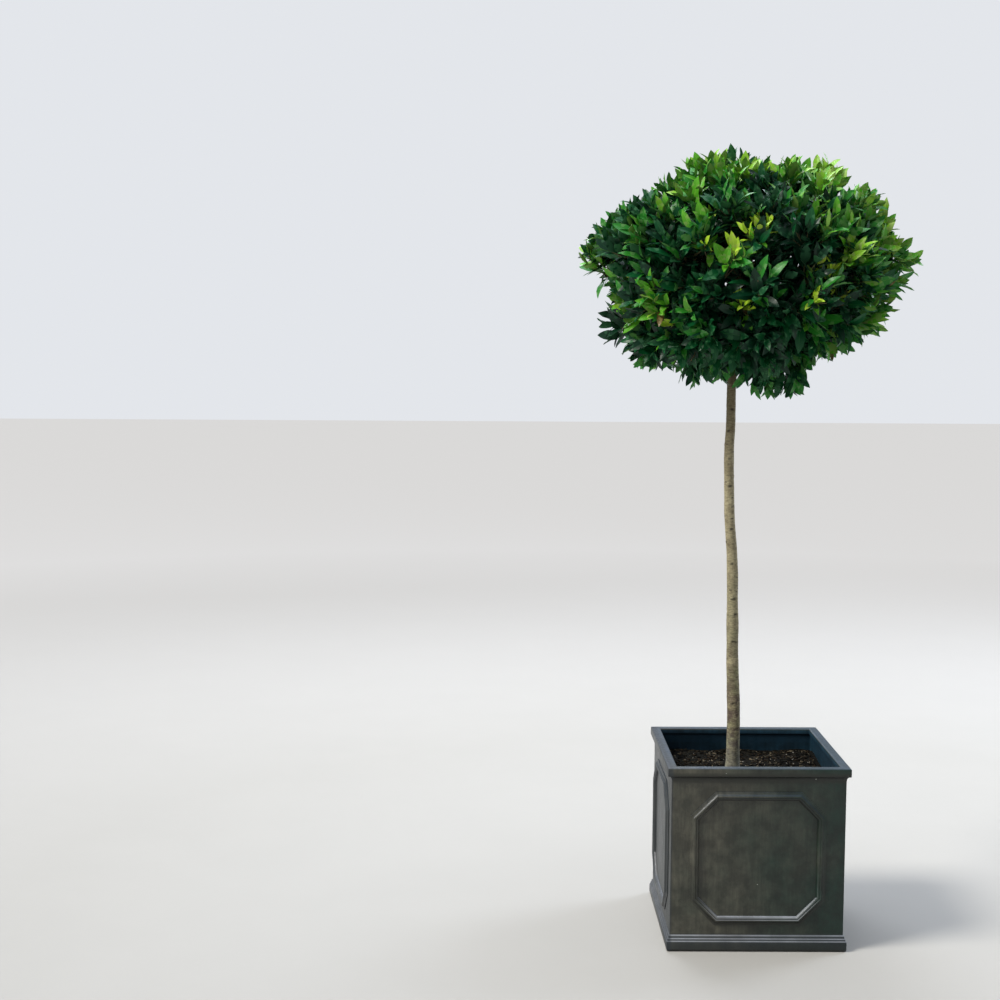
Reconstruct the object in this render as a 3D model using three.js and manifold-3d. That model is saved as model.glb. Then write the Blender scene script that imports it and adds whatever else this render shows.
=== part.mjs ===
// A standard bay topiary in a square panelled planter, in millimetres, +Z up.
// The origin is the middle of the planter's flat underside, and -Y is the front.
import * as THREE from 'three';
import { mergeVertices } from 'three/addons/utils/BufferGeometryUtils.js';
import Module from 'manifold-3d';

const wasm = await Module();
wasm.setup();

// Driving dimensions

const CLEARANCE = 0.3;        // between pieces that touch
const FINEST = 0.1;           // detail under this size is smoothed away where leaves cross
const TURN = Math.PI * 2;
const DEGREE = Math.PI / 180;

const PLANTER = {
  height: 463,
  rimHalf: 225,               // half the width over the rim
  rimTop: 24,                 // width of the rim's top
  rimBand: 20.5,              // height of the rim's outer band
  rimRound: 2.5,              // how far the rim's upper edges are rounded
  cavetto: 14,                // height of the hollow moulding below the band
  lipDepth: 14,               // how far the rim turns down inside
  bodyHalf: 215,
  wall: 10,
  floor: 14,
  plinthHalf: 223,
  plinthHeight: 41,
};

const MOULDING = {
  half: 167.5,                // half the width over the octagon
  low: 67.5,                  // height of its lower edge
  corner: 61,                 // how much each corner is cut back
  width: 22,
  proud: 8.5,                 // how far it stands off the wall
  sunk: 8,                    // how far it reaches into the wall
  round: 8,                   // how far its sides slope in
  roundHeight: 7,
};

const SOIL = {
  level: 404,                 // height at the trunk's foot
  half: PLANTER.bodyHalf - PLANTER.wall - CLEARANCE,
  bump: 4,
  flatTo: 80,                 // distance from the trunk up to which it is level
  bumpyFrom: 140,
  cells: 8,
};

const TRUNK = {
  foot: new THREE.Vector3(-34, 0, SOIL.level + CLEARANCE),
  length: 1110,
  footRadius: 17.2,
  topRadius: 10.6,
  flare: 3.5,                 // extra radius where it meets the compost
  flareHeight: 18,
  sides: 10,
  rings: 20,
};

// The trunk's line from its foot: x, y, height.
const TRUNK_LINE = [
  [0, 0, 0], [-1, 1, 170], [-5, 3, 262], [-8, 5, 445], [-11, 5, 550], [-19.5, 3, 650],
  [-22, 1, 720], [-24.5, -2, 835], [-22, -3, 890], [-21, -2, 990], [-12, 0, 1110],
];

const CROWN = {
  centre: new THREE.Vector3(-2, 0, 1701),
  radius: 402,
  top: 256,
  under: 285,
  underShape: 2.4,            // over 2 makes the underside flatter than an ellipse
  underLean: 0.22,            // the underside hangs lower on the left than on the right
  coreDepth: 100,             // from the outline in to the core
  coreThickness: 70,
  capAngle: 42 * DEGREE,      // the top mass lies within this angle of the vertical
  seam: 1,                    // half the gap between masses
};

// The space round the fork: a hole in the cores, wider above than below.
const FORK_SPACE = { x: -26, low: -240, high: -90, lowRadius: 62, highRadius: 168 };

const SIDE_NAMES = ['front', 'front_right', 'back_right', 'back', 'back_left', 'front_left'];
const SECTOR = TURN / SIDE_NAMES.length;
const FRONT = -90 * DEGREE;

const BOUGH = {
  lowest: 1028,               // height of the lowest bough on the trunk, from the foot
  rises: [0, 26, 2, 28, 4, 42],
  baseRadius: 7.4,
  tipRadius: 5.6,
  tipOut: 165,                // from the crown's axis
  tipHeights: [-88, -52, -62, -66, -92, -80],
  leaderTip: 62,
  bend: [0.3, 0.45],          // how far out and how far up the bough turns outwards
  sides: 7,
  rings: 6,
};

// A stem goes on from its bough's tip into the mass.
const STEM = {
  length: 110,
  topLength: 60,              // of the top mass's stem
  endRadius: 4.4,
  sideOut: 262,               // its end, from the crown's axis
  sideRise: 66,               // its end, over the bough's tip
  topRise: 120,
  sides: 6,
  rings: 3,
};

// Rows of twigs: elevation of each row, seen from the crown's centre, and how many twigs it has.
const SIDE_ROWS = [[41, 2], [23, 3], [4, 3], [-15, 3], [-35, 3], [-56, 3]];
const CAP_ROWS = [[86, 1], [72, 4], [58, 7]];

const TWIG = {
  baseRadius: 3.6,
  tipRadius: 2.4,
  sides: 3,
  tipDepth: 66,               // from the outline in to the twig's tip
  wander: 16,                 // spread of that depth
  straight: 40,               // length of the twig's last, straight stretch
  leafy: 40,                  // length that carries leaves
  mostLeafy: 0.85,            // share of a short twig that carries leaves
  uplift: 0.34,               // how much it turns up towards the light
  jitter: 5 * DEGREE,
};

// Twigs below this elevation hang, and end lower by `drop`.
const HANGING = { below: -50 * DEGREE, pull: 0.9, drop: 38, leafPull: 0.5 };

const LEAF = {
  count: 5,                   // along the twig, besides the one at its tip
  length: 98,
  width: 38,
  widest: 0.45,               // share of the length where it is widest
  thickness: 1.7,
  tipSize: 0.88,              // of the leaf at the twig's tip
  sizeSpread: 0.16,
  fold: 5,                    // how far the edges stand over the keel
  droop: 7,                   // how far the tip hangs below the keel
  open: [76, 42],             // degrees from the twig's heading, for its first and last side leaf
  leastOpen: 22 * DEGREE,
  gap: 0.3,                   // clear of other leaves and twigs
  limbGap: 0.8,               // clear of trunk and boughs
  crossing: 0.02,             // volume in which leaves of one twig may meet at their roots
};

// Directions that a leaf tries in turn: a swing in degrees, and a share of its opening.
const LEAF_TRIES = [[0, 1], [24, 1], [-24, 1], [0, 0.6], [36, 0.6], [-36, 0.6], [0, 0.3]];
const GOLDEN_ANGLE = 137.5 * DEGREE;

const COLOURS = {
  planter: { color: 0x353a3a, roughness: 0.55, metalness: 0.0 },
  soil: { color: 0x3a2a20, roughness: 0.95, metalness: 0.0 },
  bark: { color: 0x7c7260, roughness: 0.85, metalness: 0.0 },
  foliage: { color: 0x2f5a26, roughness: 0.45, metalness: 0.0 },
};

const materials = Object.fromEntries(
  Object.entries(COLOURS).map(([name, look]) => [name, new THREE.MeshStandardMaterial({ name, ...look })]),
);

// Small tools

// The same numbers between 0 and 1 on every run.
function seededRandom(seed) {
  let state = seed >>> 0;
  return () => {
    state = (state + 0x6d2b79f5) >>> 0;
    let mixed = Math.imul(state ^ (state >>> 15), state | 1);
    mixed ^= mixed + Math.imul(mixed ^ (mixed >>> 7), mixed | 61);
    return ((mixed ^ (mixed >>> 14)) >>> 0) / 4294967296;
  };
}

function solidFrom(geometry) {
  const bare = geometry.index ? geometry.toNonIndexed() : geometry.clone();
  bare.deleteAttribute('normal');
  bare.deleteAttribute('uv');
  const merged = mergeVertices(bare, 1e-4);
  return new wasm.Manifold(new wasm.Mesh({
    numProp: 3,
    vertProperties: new Float32Array(merged.attributes.position.array),
    triVerts: new Uint32Array(merged.index.array),
  }));
}

function geometryFrom(solid) {
  const mesh = solid.getMesh();
  const geometry = new THREE.BufferGeometry();
  geometry.setAttribute('position', new THREE.BufferAttribute(new Float32Array(mesh.vertProperties), 3));
  geometry.setIndex(new THREE.BufferAttribute(new Uint32Array(mesh.triVerts), 1));
  geometry.computeVertexNormals();
  return geometry;
}

function meshOf(name, solid, material) {
  const mesh = new THREE.Mesh(geometryFrom(solid), material);
  mesh.name = name;
  return mesh;
}

const nothing = new wasm.Manifold(new wasm.Mesh({ numProp: 3, vertProperties: [], triVerts: [] }));

// The largest closed body of a solid: loose scraps are dropped and sealed hollows are filled.
function mainBody(solid) {
  return solid.decompose().reduce((best, body) => (body.volume() > best.volume() ? body : best));
}

function geometryOf(points, triangles) {
  const geometry = new THREE.BufferGeometry();
  geometry.setAttribute('position', new THREE.Float32BufferAttribute(points.flatMap((p) => p.toArray()), 3));
  geometry.setIndex(triangles.flat());
  return geometry;
}

function sideways(direction) {
  const helper = Math.abs(direction.z) > 0.9 ? new THREE.Vector3(1, 0, 0) : new THREE.Vector3(0, 0, 1);
  return new THREE.Vector3().crossVectors(helper, direction).normalize();
}

// The points and triangles of a closed tapering limb with flat ends. `shares` places its rings along
// the curve, and `turnAt` turns each ring.
function limbMesh(curve, radiusAt, sides, shares, turnAt = () => 0) {
  const points = [];
  const reference = sideways(curve.getTangent((shares[0] + shares.at(-1)) / 2));
  shares.forEach((share, ring) => {
    const centre = curve.getPointAt(share);
    const along = curve.getTangentAt(share);
    const across = reference.clone().addScaledVector(along, -reference.dot(along)).normalize();
    const beside = new THREE.Vector3().crossVectors(along, across);
    for (let side = 0; side < sides; side++) {
      const angle = turnAt(ring) + (side / sides) * TURN;
      points.push(centre.clone()
        .addScaledVector(across, Math.cos(angle) * radiusAt(share))
        .addScaledVector(beside, Math.sin(angle) * radiusAt(share)));
    }
  });
  const triangles = [];
  const last = (shares.length - 1) * sides;
  for (let corner = 0; corner < last; corner++) {
    const next = corner % sides === sides - 1 ? corner + 1 - sides : corner + 1;
    triangles.push([corner, next, next + sides], [corner, next + sides, corner + sides]);
  }
  for (let side = 1; side < sides - 1; side++) {
    triangles.push([0, side + 1, side], [last, last + side, last + side + 1]);
  }
  return { points, triangles };
}

function limb(curve, radiusAt, sides, rings, from = 0, to = 1) {
  const shares = Array.from({ length: rings + 1 }, (_, ring) => THREE.MathUtils.lerp(from, to, ring / rings));
  const mesh = limbMesh(curve, radiusAt, sides, shares);
  return solidFrom(geometryOf(mesh.points, mesh.triangles));
}

const taper = (start, end) => (share) => start + (end - start) * share;

// Planter

// Half of the planter's section, as half-width and height, from the middle of the underside
// round the outside, over the rim and down the inside to the middle of the floor.
function planterSection() {
  const p = PLANTER;
  const bandLow = p.height - p.rimBand;
  const hollowLow = bandLow - p.cavetto;
  const inner = p.bodyHalf - p.wall;
  const lip = p.rimHalf - p.rimTop;
  return [
    [0, 0], [p.plinthHalf - 5, 0], [p.plinthHalf - 1.5, 1.5], [p.plinthHalf, 5], [p.plinthHalf, 25.5],
    [p.plinthHalf - 2.2, 27], [p.plinthHalf - 2.6, 31.5], [p.plinthHalf - 4.8, 33],
    [p.plinthHalf - 5.2, 38.5], [p.bodyHalf, p.plinthHeight],
    [p.bodyHalf, hollowLow], [p.bodyHalf + 1.5, hollowLow + 5], [p.bodyHalf + 5, hollowLow + 10],
    [p.bodyHalf + 8, bandLow - 1], [p.rimHalf, bandLow], [p.rimHalf, p.height - p.rimRound],
    [p.rimHalf - p.rimRound, p.height], [lip + p.rimRound, p.height], [lip, p.height - p.rimRound],
    [lip, p.height - p.lipDepth], [inner, p.height - p.lipDepth - 3],
    [inner, p.floor], [0, p.floor],
  ];
}

// A square ring has four lathe segments: its corners lie at the half-width times the root of two.
function planterShell() {
  const profile = planterSection().map(([half, height]) => new THREE.Vector2(half * Math.SQRT2, height));
  const shell = new THREE.LatheGeometry(profile, 4);
  shell.rotateX(Math.PI / 2);
  shell.rotateZ(Math.PI / 4);
  return solidFrom(shell);
}

// An octagon: a square of half-width `half` with its corners cut back.
function octagon(half, corner) {
  const flat = half - corner;
  return [[-flat, -half], [flat, -half], [half, -flat], [half, flat],
    [flat, half], [-flat, half], [-half, flat], [-half, -flat]].map(([x, y]) => new THREE.Vector2(x, y));
}

// One raised octagonal moulding, lying in its own XY plane and facing +Z.
function mouldingRing() {
  const m = MOULDING;
  const cornerStep = m.width * (2 - Math.SQRT2);
  const outset = m.round * (2 - Math.SQRT2);
  const shape = new THREE.Shape(octagon(m.half - m.round, m.corner - outset));
  shape.holes.push(new THREE.Path(octagon(m.half - m.width + m.round, m.corner - cornerStep + outset)));
  const ring = new THREE.ExtrudeGeometry(shape, {
    depth: m.proud + m.sunk - 2 * m.roundHeight,
    bevelEnabled: true,
    bevelThickness: m.roundHeight,
    bevelSize: m.round,
    bevelSegments: 2,
  });
  return ring.translate(0, 0, m.roundHeight - m.sunk);
}

function planter() {
  let solid = planterShell();
  for (let side = 0; side < 4; side++) {
    const ring = mouldingRing();
    ring.rotateX(Math.PI / 2);
    ring.translate(0, -PLANTER.bodyHalf, MOULDING.low + MOULDING.half);
    ring.rotateZ(side * Math.PI / 2);
    solid = solid.add(solidFrom(ring));
  }
  return mainBody(solid);
}

// Compost

// The compost's height: flat where the trunk stands, and uneven elsewhere.
function soilHeight(x, y) {
  const fromTrunk = Math.hypot(x - TRUNK.foot.x, y - TRUNK.foot.y);
  const settle = THREE.MathUtils.smoothstep(fromTrunk, SOIL.flatTo, SOIL.bumpyFrom);
  const uneven = Math.sin(x / 47 + 0.8) * Math.cos(y / 39 - 0.4) + 0.6 * Math.sin((x + y) / 26);
  return SOIL.level + settle * SOIL.bump * uneven;
}

function soil() {
  const low = PLANTER.floor + CLEARANCE;
  const depth = SOIL.level - low;
  const block = new THREE.BoxGeometry(2 * SOIL.half, 2 * SOIL.half, depth, SOIL.cells, SOIL.cells, 1);
  block.translate(0, 0, low + depth / 2);
  const spots = block.attributes.position;
  for (let i = 0; i < spots.count; i++) {
    if (spots.getZ(i) > SOIL.level - 1) spots.setZ(i, soilHeight(spots.getX(i), spots.getY(i)));
  }
  return solidFrom(block);
}

// Trunk and boughs, in a frame with its origin at the trunk's foot

const trunkCurve = new THREE.CatmullRomCurve3(TRUNK_LINE.map((p) => new THREE.Vector3(...p)));
const crownFromFoot = CROWN.centre.clone().sub(TRUNK.foot);

function trunkRadius(share) {
  const height = trunkCurve.getPointAt(share).z;
  const even = THREE.MathUtils.lerp(TRUNK.footRadius, TRUNK.topRadius, height / TRUNK.length);
  return even + TRUNK.flare * Math.exp(-height / TRUNK.flareHeight);
}

function trunk(extra = 0) {
  return limb(trunkCurve, (share) => trunkRadius(share) + extra, TRUNK.sides, TRUNK.rings);
}

// The point of the trunk's line at a height above its foot.
function trunkPoint(height) {
  let low = 0;
  let high = 1;
  while (high - low > 1e-5) {
    const middle = (low + high) / 2;
    if (trunkCurve.getPointAt(middle).z < height) low = middle;
    else high = middle;
  }
  return trunkCurve.getPointAt(low);
}

// One line carries a bough and then, past its tip, the stem of the mass that it feeds.
function sideLine(index) {
  const angle = FRONT + index * SECTOR;
  const out = new THREE.Vector3(Math.cos(angle), Math.sin(angle), 0);
  const start = trunkPoint(BOUGH.lowest + BOUGH.rises[index]);
  const tip = crownFromFoot.clone().addScaledVector(out, BOUGH.tipOut);
  tip.z += BOUGH.tipHeights[index];
  const end = crownFromFoot.clone().addScaledVector(out, STEM.sideOut);
  end.z += BOUGH.tipHeights[index] + STEM.sideRise;
  const [outwards, upwards] = BOUGH.bend;
  const bend = start.clone().lerp(tip, outwards);
  bend.z = THREE.MathUtils.lerp(start.z, tip.z, upwards);
  return new THREE.CatmullRomCurve3([start, bend, tip, end]);
}

function leaderLine() {
  const start = trunkCurve.getPoint(1);
  start.z += CLEARANCE;
  const tip = crownFromFoot.clone().add(new THREE.Vector3(-8, 4, BOUGH.leaderTip));
  const end = crownFromFoot.clone().add(new THREE.Vector3(0, 0, STEM.topRise));
  const bend = start.clone().lerp(tip, 0.5).add(new THREE.Vector3(-6, 0, 0));
  return new THREE.CatmullRomCurve3([start, bend, tip, end]);
}

// A bough ends flat on its curve, and the stem of its mass goes on from there.
function boughAndStem(curve, baseRadius, stemLength) {
  const length = curve.getLength();
  const boughEnd = 1 - stemLength / length;
  const radiusAt = (share) => (share < boughEnd
    ? taper(baseRadius, BOUGH.tipRadius)(share / boughEnd)
    : taper(BOUGH.tipRadius, STEM.endRadius)((share - boughEnd) / (1 - boughEnd)));
  return {
    curve,
    bough: limb(curve, radiusAt, BOUGH.sides, BOUGH.rings, 0, boughEnd),
    stem: limb(curve, radiusAt, STEM.sides, STEM.rings, boughEnd + CLEARANCE / length, 1),
  };
}

// Crown, in a frame with its origin at the crown's centre

// How far the crown reaches from its centre in a direction.
function crownReach(direction) {
  const level = Math.hypot(direction.x, direction.y) / CROWN.radius;
  if (direction.z >= 0) return 1 / Math.hypot(level, direction.z / CROWN.top);
  const shape = CROWN.underShape;
  const even = (level ** shape + (-direction.z / CROWN.under) ** shape) ** (-1 / shape);
  return even * (1 + CROWN.underLean * direction.x * direction.z);
}

// A closed solid that lies inside the crown's outline by an even depth.
function crownBody(depth, around, upwards) {
  const body = new THREE.SphereGeometry(1, around, upwards).rotateX(Math.PI / 2);
  const spots = body.attributes.position;
  for (let i = 0; i < spots.count; i++) {
    const direction = new THREE.Vector3().fromBufferAttribute(spots, i).normalize();
    direction.multiplyScalar(crownReach(direction) - depth);
    spots.setXYZ(i, ...direction.toArray());
  }
  return solidFrom(body);
}

// The sector of one side mass, as a tall three-cornered prism.
function sectorPrism(angle) {
  const far = 1000;
  const tip = CROWN.seam / Math.sin(SECTOR / 2);
  const corner = (turn, reach) => new THREE.Vector2(
    Math.cos(angle) * tip + Math.cos(angle + turn) * reach,
    Math.sin(angle) * tip + Math.sin(angle + turn) * reach,
  );
  const shape = new THREE.Shape([corner(0, 0), corner(-SECTOR / 2, far), corner(SECTOR / 2, far)]);
  const prism = new THREE.ExtrudeGeometry(shape, { depth: 2 * far, bevelEnabled: false });
  return solidFrom(prism.translate(0, 0, -far));
}

// The upside-down pyramid that parts the top mass from the side masses, moved up or down by `shift`.
// It has one face for each sector.
function capPyramid(shift) {
  const height = 600;
  const corner = height * Math.tan(CROWN.capAngle) / Math.cos(SECTOR / 2);
  const pyramid = new THREE.ConeGeometry(corner, height, SIDE_NAMES.length);
  pyramid.rotateX(-Math.PI / 2);
  pyramid.rotateZ(SECTOR / 2);
  return solidFrom(pyramid.translate(0, 0, height / 2 + shift));
}

function forkSpace() {
  const f = FORK_SPACE;
  const hole = new THREE.CylinderGeometry(f.highRadius, f.lowRadius, f.high - f.low, 16);
  hole.rotateX(Math.PI / 2);
  return solidFrom(hole.translate(f.x, 0, (f.low + f.high) / 2));
}

// How far a point lies inside the space that a mass keeps to. Negative is outside.
function roomAt(point, mass) {
  const overCap = (angle) => point.z * Math.sin(CROWN.capAngle)
    - (Math.cos(angle) * point.x + Math.sin(angle) * point.y) * Math.cos(CROWN.capAngle);
  if (mass.cap) return Math.min(...SIDE_NAMES.map((_, index) => overCap(FRONT + index * SECTOR))) - CROWN.seam;
  const aside = (turn) => {
    const edge = mass.angle + turn * (SECTOR / 2);
    return turn * (Math.sin(edge) * point.x - Math.cos(edge) * point.y);
  };
  return Math.min(-overCap(mass.angle), aside(1), aside(-1)) - CROWN.seam;
}

const keepsInside = (points, mass) => points.every((point) => roomAt(point, mass) > 0);
const clearOfLimbs = (piece) => limbsFromCrown.minGap(piece, 2 * LEAF.limbGap) > LEAF.limbGap;

// A leaf grows out of one three-cornered face of its twig: the points are the face's corners, then the
// leaf's left edge, keel, right edge and midrib at its widest, then its tip.
function leafPoints(root, along, size) {
  const length = LEAF.length * size;
  const halfWidth = LEAF.width * size / 2;
  const middle = root[0].clone().add(root[1]).add(root[2]).divideScalar(3);
  const aside = root[1].clone().sub(root[0]);
  aside.addScaledVector(along, -aside.dot(along)).normalize();
  const up = new THREE.Vector3().crossVectors(along, aside);
  const spot = (forward, across, lift) => middle.clone()
    .addScaledVector(along, forward).addScaledVector(aside, across).addScaledVector(up, lift);
  const widest = LEAF.widest * length;
  return [
    ...root, spot(widest, -halfWidth, LEAF.fold), spot(widest, 0, 0), spot(widest, halfWidth, LEAF.fold),
    spot(widest, 0, LEAF.thickness), spot(length, 0, -LEAF.droop),
  ];
}

const LEAF_FACES = [
  [0, 1, 4], [1, 5, 4], [0, 4, 3], [1, 2, 5], [2, 6, 5], [2, 0, 3], [2, 3, 6],
  [3, 4, 7], [4, 5, 7], [5, 6, 7], [6, 3, 7],
];
const LEAF_ROOT = [0, 2, 1];

// A twig grows from the stem's end out through the core, and turns up towards the light or hangs.
function twigLine(mass, elevation, turn, random) {
  const shake = () => (random() - 0.5) * 2 * TWIG.jitter;
  const tilt = elevation + shake();
  const angle = turn + shake();
  const out = new THREE.Vector3(
    Math.cos(tilt) * Math.cos(angle), Math.cos(tilt) * Math.sin(angle), Math.sin(tilt),
  );
  const hangs = elevation < HANGING.below;
  const tip = out.clone().multiplyScalar(crownReach(out) - TWIG.tipDepth + TWIG.wander * (random() - 0.5));
  if (hangs) tip.z -= HANGING.drop;
  const heading = out.clone();
  heading.z += hangs ? -HANGING.pull : TWIG.uplift;
  heading.normalize();
  const bend = tip.clone().addScaledVector(heading, -TWIG.straight);
  return { curve: new THREE.CatmullRomCurve3([mass.stemEnd, bend, tip]), heading, hangs };
}

// A bare twig. Each ring of its leafy stretch is turned on the one before, so that the faces that carry
// leaves follow each other by the golden angle.
function bareTwig(line, random) {
  const leafyShare = Math.min(TWIG.leafy / line.curve.getLength(), TWIG.mostLeafy);
  const shares = [0, (1 - leafyShare) / 2];
  const bareRings = shares.length;
  for (let node = 0; node <= LEAF.count; node++) shares.push(1 - leafyShare * (1 - node / LEAF.count));
  const firstTurn = random() * TURN;
  const turnAt = (ring) => firstTurn + Math.max(ring - bareRings, 0) * (GOLDEN_ANGLE - TURN / TWIG.sides);
  const wood = limbMesh(line.curve, taper(TWIG.baseRadius, TWIG.tipRadius), TWIG.sides, shares, turnAt);
  return { ...line, ...wood, bareRings, solid: solidFrom(geometryOf(wood.points, wood.triangles)) };
}

// The face of a bare twig that carries leaf number `node`, and how far that leaf opens.
function leafFace(twig, node) {
  if (node === LEAF.count) return { face: twig.triangles.length - 1, open: 0 };
  const face = 2 * ((node + twig.bareRings) * TWIG.sides + (node % TWIG.sides));
  return { face, open: THREE.MathUtils.lerp(...LEAF.open, node / LEAF.count) * DEGREE };
}

// Directions that a leaf tries: its own, then swung to one side, then closer to the twig.
function leafDirections(twig, root, open) {
  if (open === 0) return [twig.heading];
  const outwards = root[1].clone().sub(root[0]).cross(root[2].clone().sub(root[0]));
  const facing = outwards.addScaledVector(twig.heading, -outwards.dot(twig.heading)).normalize();
  return LEAF_TRIES.map(([swing, share]) => {
    const round = facing.clone().applyAxisAngle(twig.heading, swing * DEGREE);
    const angle = Math.max(open * share, LEAF.leastOpen);
    const along = twig.heading.clone().multiplyScalar(Math.cos(angle)).addScaledVector(round, Math.sin(angle));
    if (twig.hangs) along.z -= HANGING.leafPull;
    return along.normalize();
  });
}

// A twig with its leaves as one closed mesh. A leaf that finds no free direction is left out.
function leafyTwig(mass, twig, others, random) {
  let leaves = nothing;
  const points = [...twig.points];
  const triangles = [...twig.triangles];
  for (let node = 0; node <= LEAF.count; node++) {
    const { face, open } = leafFace(twig, node);
    const root = twig.triangles[face].map((corner) => twig.points[corner]);
    const size = (open === 0 ? LEAF.tipSize : 1) + (random() - 0.5) * LEAF.sizeSpread;
    for (const along of leafDirections(twig, root, open)) {
      const spots = leafPoints(root, along, size);
      const leaf = solidFrom(geometryOf(spots, [...LEAF_FACES, LEAF_ROOT]));
      const crossing = leaf.intersect(leaves).volume() + leaf.intersect(twig.solid).volume();
      const free = crossing < LEAF.crossing && others.minGap(leaf, 2 * LEAF.gap) > LEAF.gap;
      if (!free || !keepsInside(spots, mass) || !clearOfLimbs(leaf)) continue;
      leaves = leaves.add(leaf);
      const corners = [...twig.triangles[face], ...spots.slice(3).map((_, i) => points.length + i)];
      points.push(...spots.slice(3));
      triangles[face] = null;
      triangles.push(...LEAF_FACES.map((corner) => corner.map((i) => corners[i])));
      break;
    }
  }
  return solidFrom(geometryOf(points, triangles.filter(Boolean)));
}

function bareTwigs(mass, random) {
  const spread = mass.cap ? TURN : SECTOR;
  const rows = mass.cap ? CAP_ROWS : SIDE_ROWS;
  return rows.flatMap(([elevation, count], row) => Array.from({ length: count }, (_, i) => {
    const place = mass.cap ? i / count + row / 3 : (i + 0.5) / count - 0.5;
    return bareTwig(twigLine(mass, elevation * DEGREE, mass.angle + place * spread, random), random);
  })).filter((twig) => keepsInside(twig.points, mass) && clearOfLimbs(twig.solid));
}

function massTwigs(mass, random) {
  const twigs = bareTwigs(mass, random);
  let grown = nothing;
  for (const twig of twigs) {
    const bare = twigs.filter((other) => other !== twig).reduce((whole, other) => whole.add(other.solid), grown);
    grown = grown.add(leafyTwig(mass, twig, bare, random));
  }
  return grown;
}

// The part of the crown's core that one mass keeps to.
function coreOf(mass) {
  const step = CROWN.seam / Math.sin(CROWN.capAngle);
  if (mass.cap) return shell.intersect(capPyramid(step));
  return shell.subtract(capPyramid(-step)).intersect(sectorPrism(mass.angle));
}

function foliageMass(mass, stem, seed) {
  const twigs = massTwigs(mass, seededRandom(seed));
  return mainBody(coreOf(mass).add(stem).add(twigs)).simplify(FINEST);
}

// Assembly

const tree = new THREE.Group();
tree.position.copy(TRUNK.foot);
const crown = new THREE.Group();
crown.position.copy(crownFromFoot);
tree.add(crown);
const toCrown = crownFromFoot.clone().negate();

const sides = SIDE_NAMES.map((name, index) => ({
  name,
  angle: FRONT + index * SECTOR,
  cap: false,
  ...boughAndStem(sideLine(index), BOUGH.baseRadius, STEM.length),
}));
const leader = {
  name: 'leader', angle: 0, cap: true, ...boughAndStem(leaderLine(), TRUNK.topRadius, STEM.topLength),
};

const trunkSolid = trunk();
const grownTrunk = trunk(CLEARANCE);
for (const side of sides) side.bough = mainBody(side.bough.subtract(grownTrunk));
const limbsFromCrown = [leader, ...sides].reduce((whole, part) => whole.add(part.bough), trunkSolid)
  .translate(toCrown.toArray());
const shell = crownBody(CROWN.coreDepth, 24, 14)
  .subtract(crownBody(CROWN.coreDepth + CROWN.coreThickness, 12, 8)).subtract(forkSpace());

tree.add(meshOf('trunk', trunkSolid, materials.bark));
[...sides, leader].forEach((part, index) => {
  tree.add(meshOf(`bough_${part.name}`, part.bough, materials.bark));
  const mass = { angle: part.angle, cap: part.cap, stemEnd: part.curve.getPoint(1).add(toCrown) };
  const name = part.cap ? 'foliage_top' : `foliage_${part.name}`;
  const solid = foliageMass(mass, part.stem.translate(toCrown.toArray()), 71 + index);
  crown.add(meshOf(name, solid, materials.foliage));
});

const topiary = new THREE.Group();
topiary.add(meshOf('planter', planter(), materials.planter));
topiary.add(meshOf('soil', soil(), materials.soil));
topiary.add(tree);

export default topiary;
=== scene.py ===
# %% [markdown]
# # A standard bay topiary in a square planter
# A clipped ball of bay leaves stands on one bare trunk, in a square planter of imitation lead. The packed
# model holds every shape and size as plain solids. This notebook dresses them one piece at a time, in
# metres and in the same frame: +Z is up, -Y is the front, and the origin is under the planter's middle.

import math
import random

import bpy
import numpy as np
from mathutils import Matrix, Vector, noise


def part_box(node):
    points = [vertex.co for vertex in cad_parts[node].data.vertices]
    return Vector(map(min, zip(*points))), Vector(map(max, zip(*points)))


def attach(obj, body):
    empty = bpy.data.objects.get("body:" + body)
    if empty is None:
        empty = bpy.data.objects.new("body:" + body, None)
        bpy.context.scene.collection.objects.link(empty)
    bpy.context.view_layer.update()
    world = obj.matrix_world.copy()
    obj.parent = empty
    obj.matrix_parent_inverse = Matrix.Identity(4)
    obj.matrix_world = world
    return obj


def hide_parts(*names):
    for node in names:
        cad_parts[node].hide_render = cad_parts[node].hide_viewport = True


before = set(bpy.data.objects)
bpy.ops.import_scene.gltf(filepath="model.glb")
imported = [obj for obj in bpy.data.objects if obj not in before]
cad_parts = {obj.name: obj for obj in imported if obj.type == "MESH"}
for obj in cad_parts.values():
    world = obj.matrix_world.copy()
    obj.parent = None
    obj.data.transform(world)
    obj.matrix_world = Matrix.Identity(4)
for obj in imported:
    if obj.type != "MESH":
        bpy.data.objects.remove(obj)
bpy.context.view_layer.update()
GOLDEN_ANGLE = math.radians(137.5)
UP = np.array([0.0, 0.0, 1.0])
print("CAD nodes:", len(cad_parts))

# %% [markdown]
# ## Camera
# The photograph was taken from a step away at about eye level, a little to the left, looking slightly
# down. The camera was solved from twenty points of the planter, so it needs no shift, and it is set as a
# place and three turns.

# %% The camera
PICTURE_WIDTH = 1000                 # pixels
FOCAL_LENGTH = 1633.35               # pixels
SENSOR_WIDTH = 36                    # millimetres
CAMERA_PLACE = (-0.6571, -4.1439, 1.4801)
CAMERA_YAW = math.radians(-0.237)
CAMERA_PITCH = math.radians(5.243)   # downwards
CAMERA_ROLL = math.radians(0.323)

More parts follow.
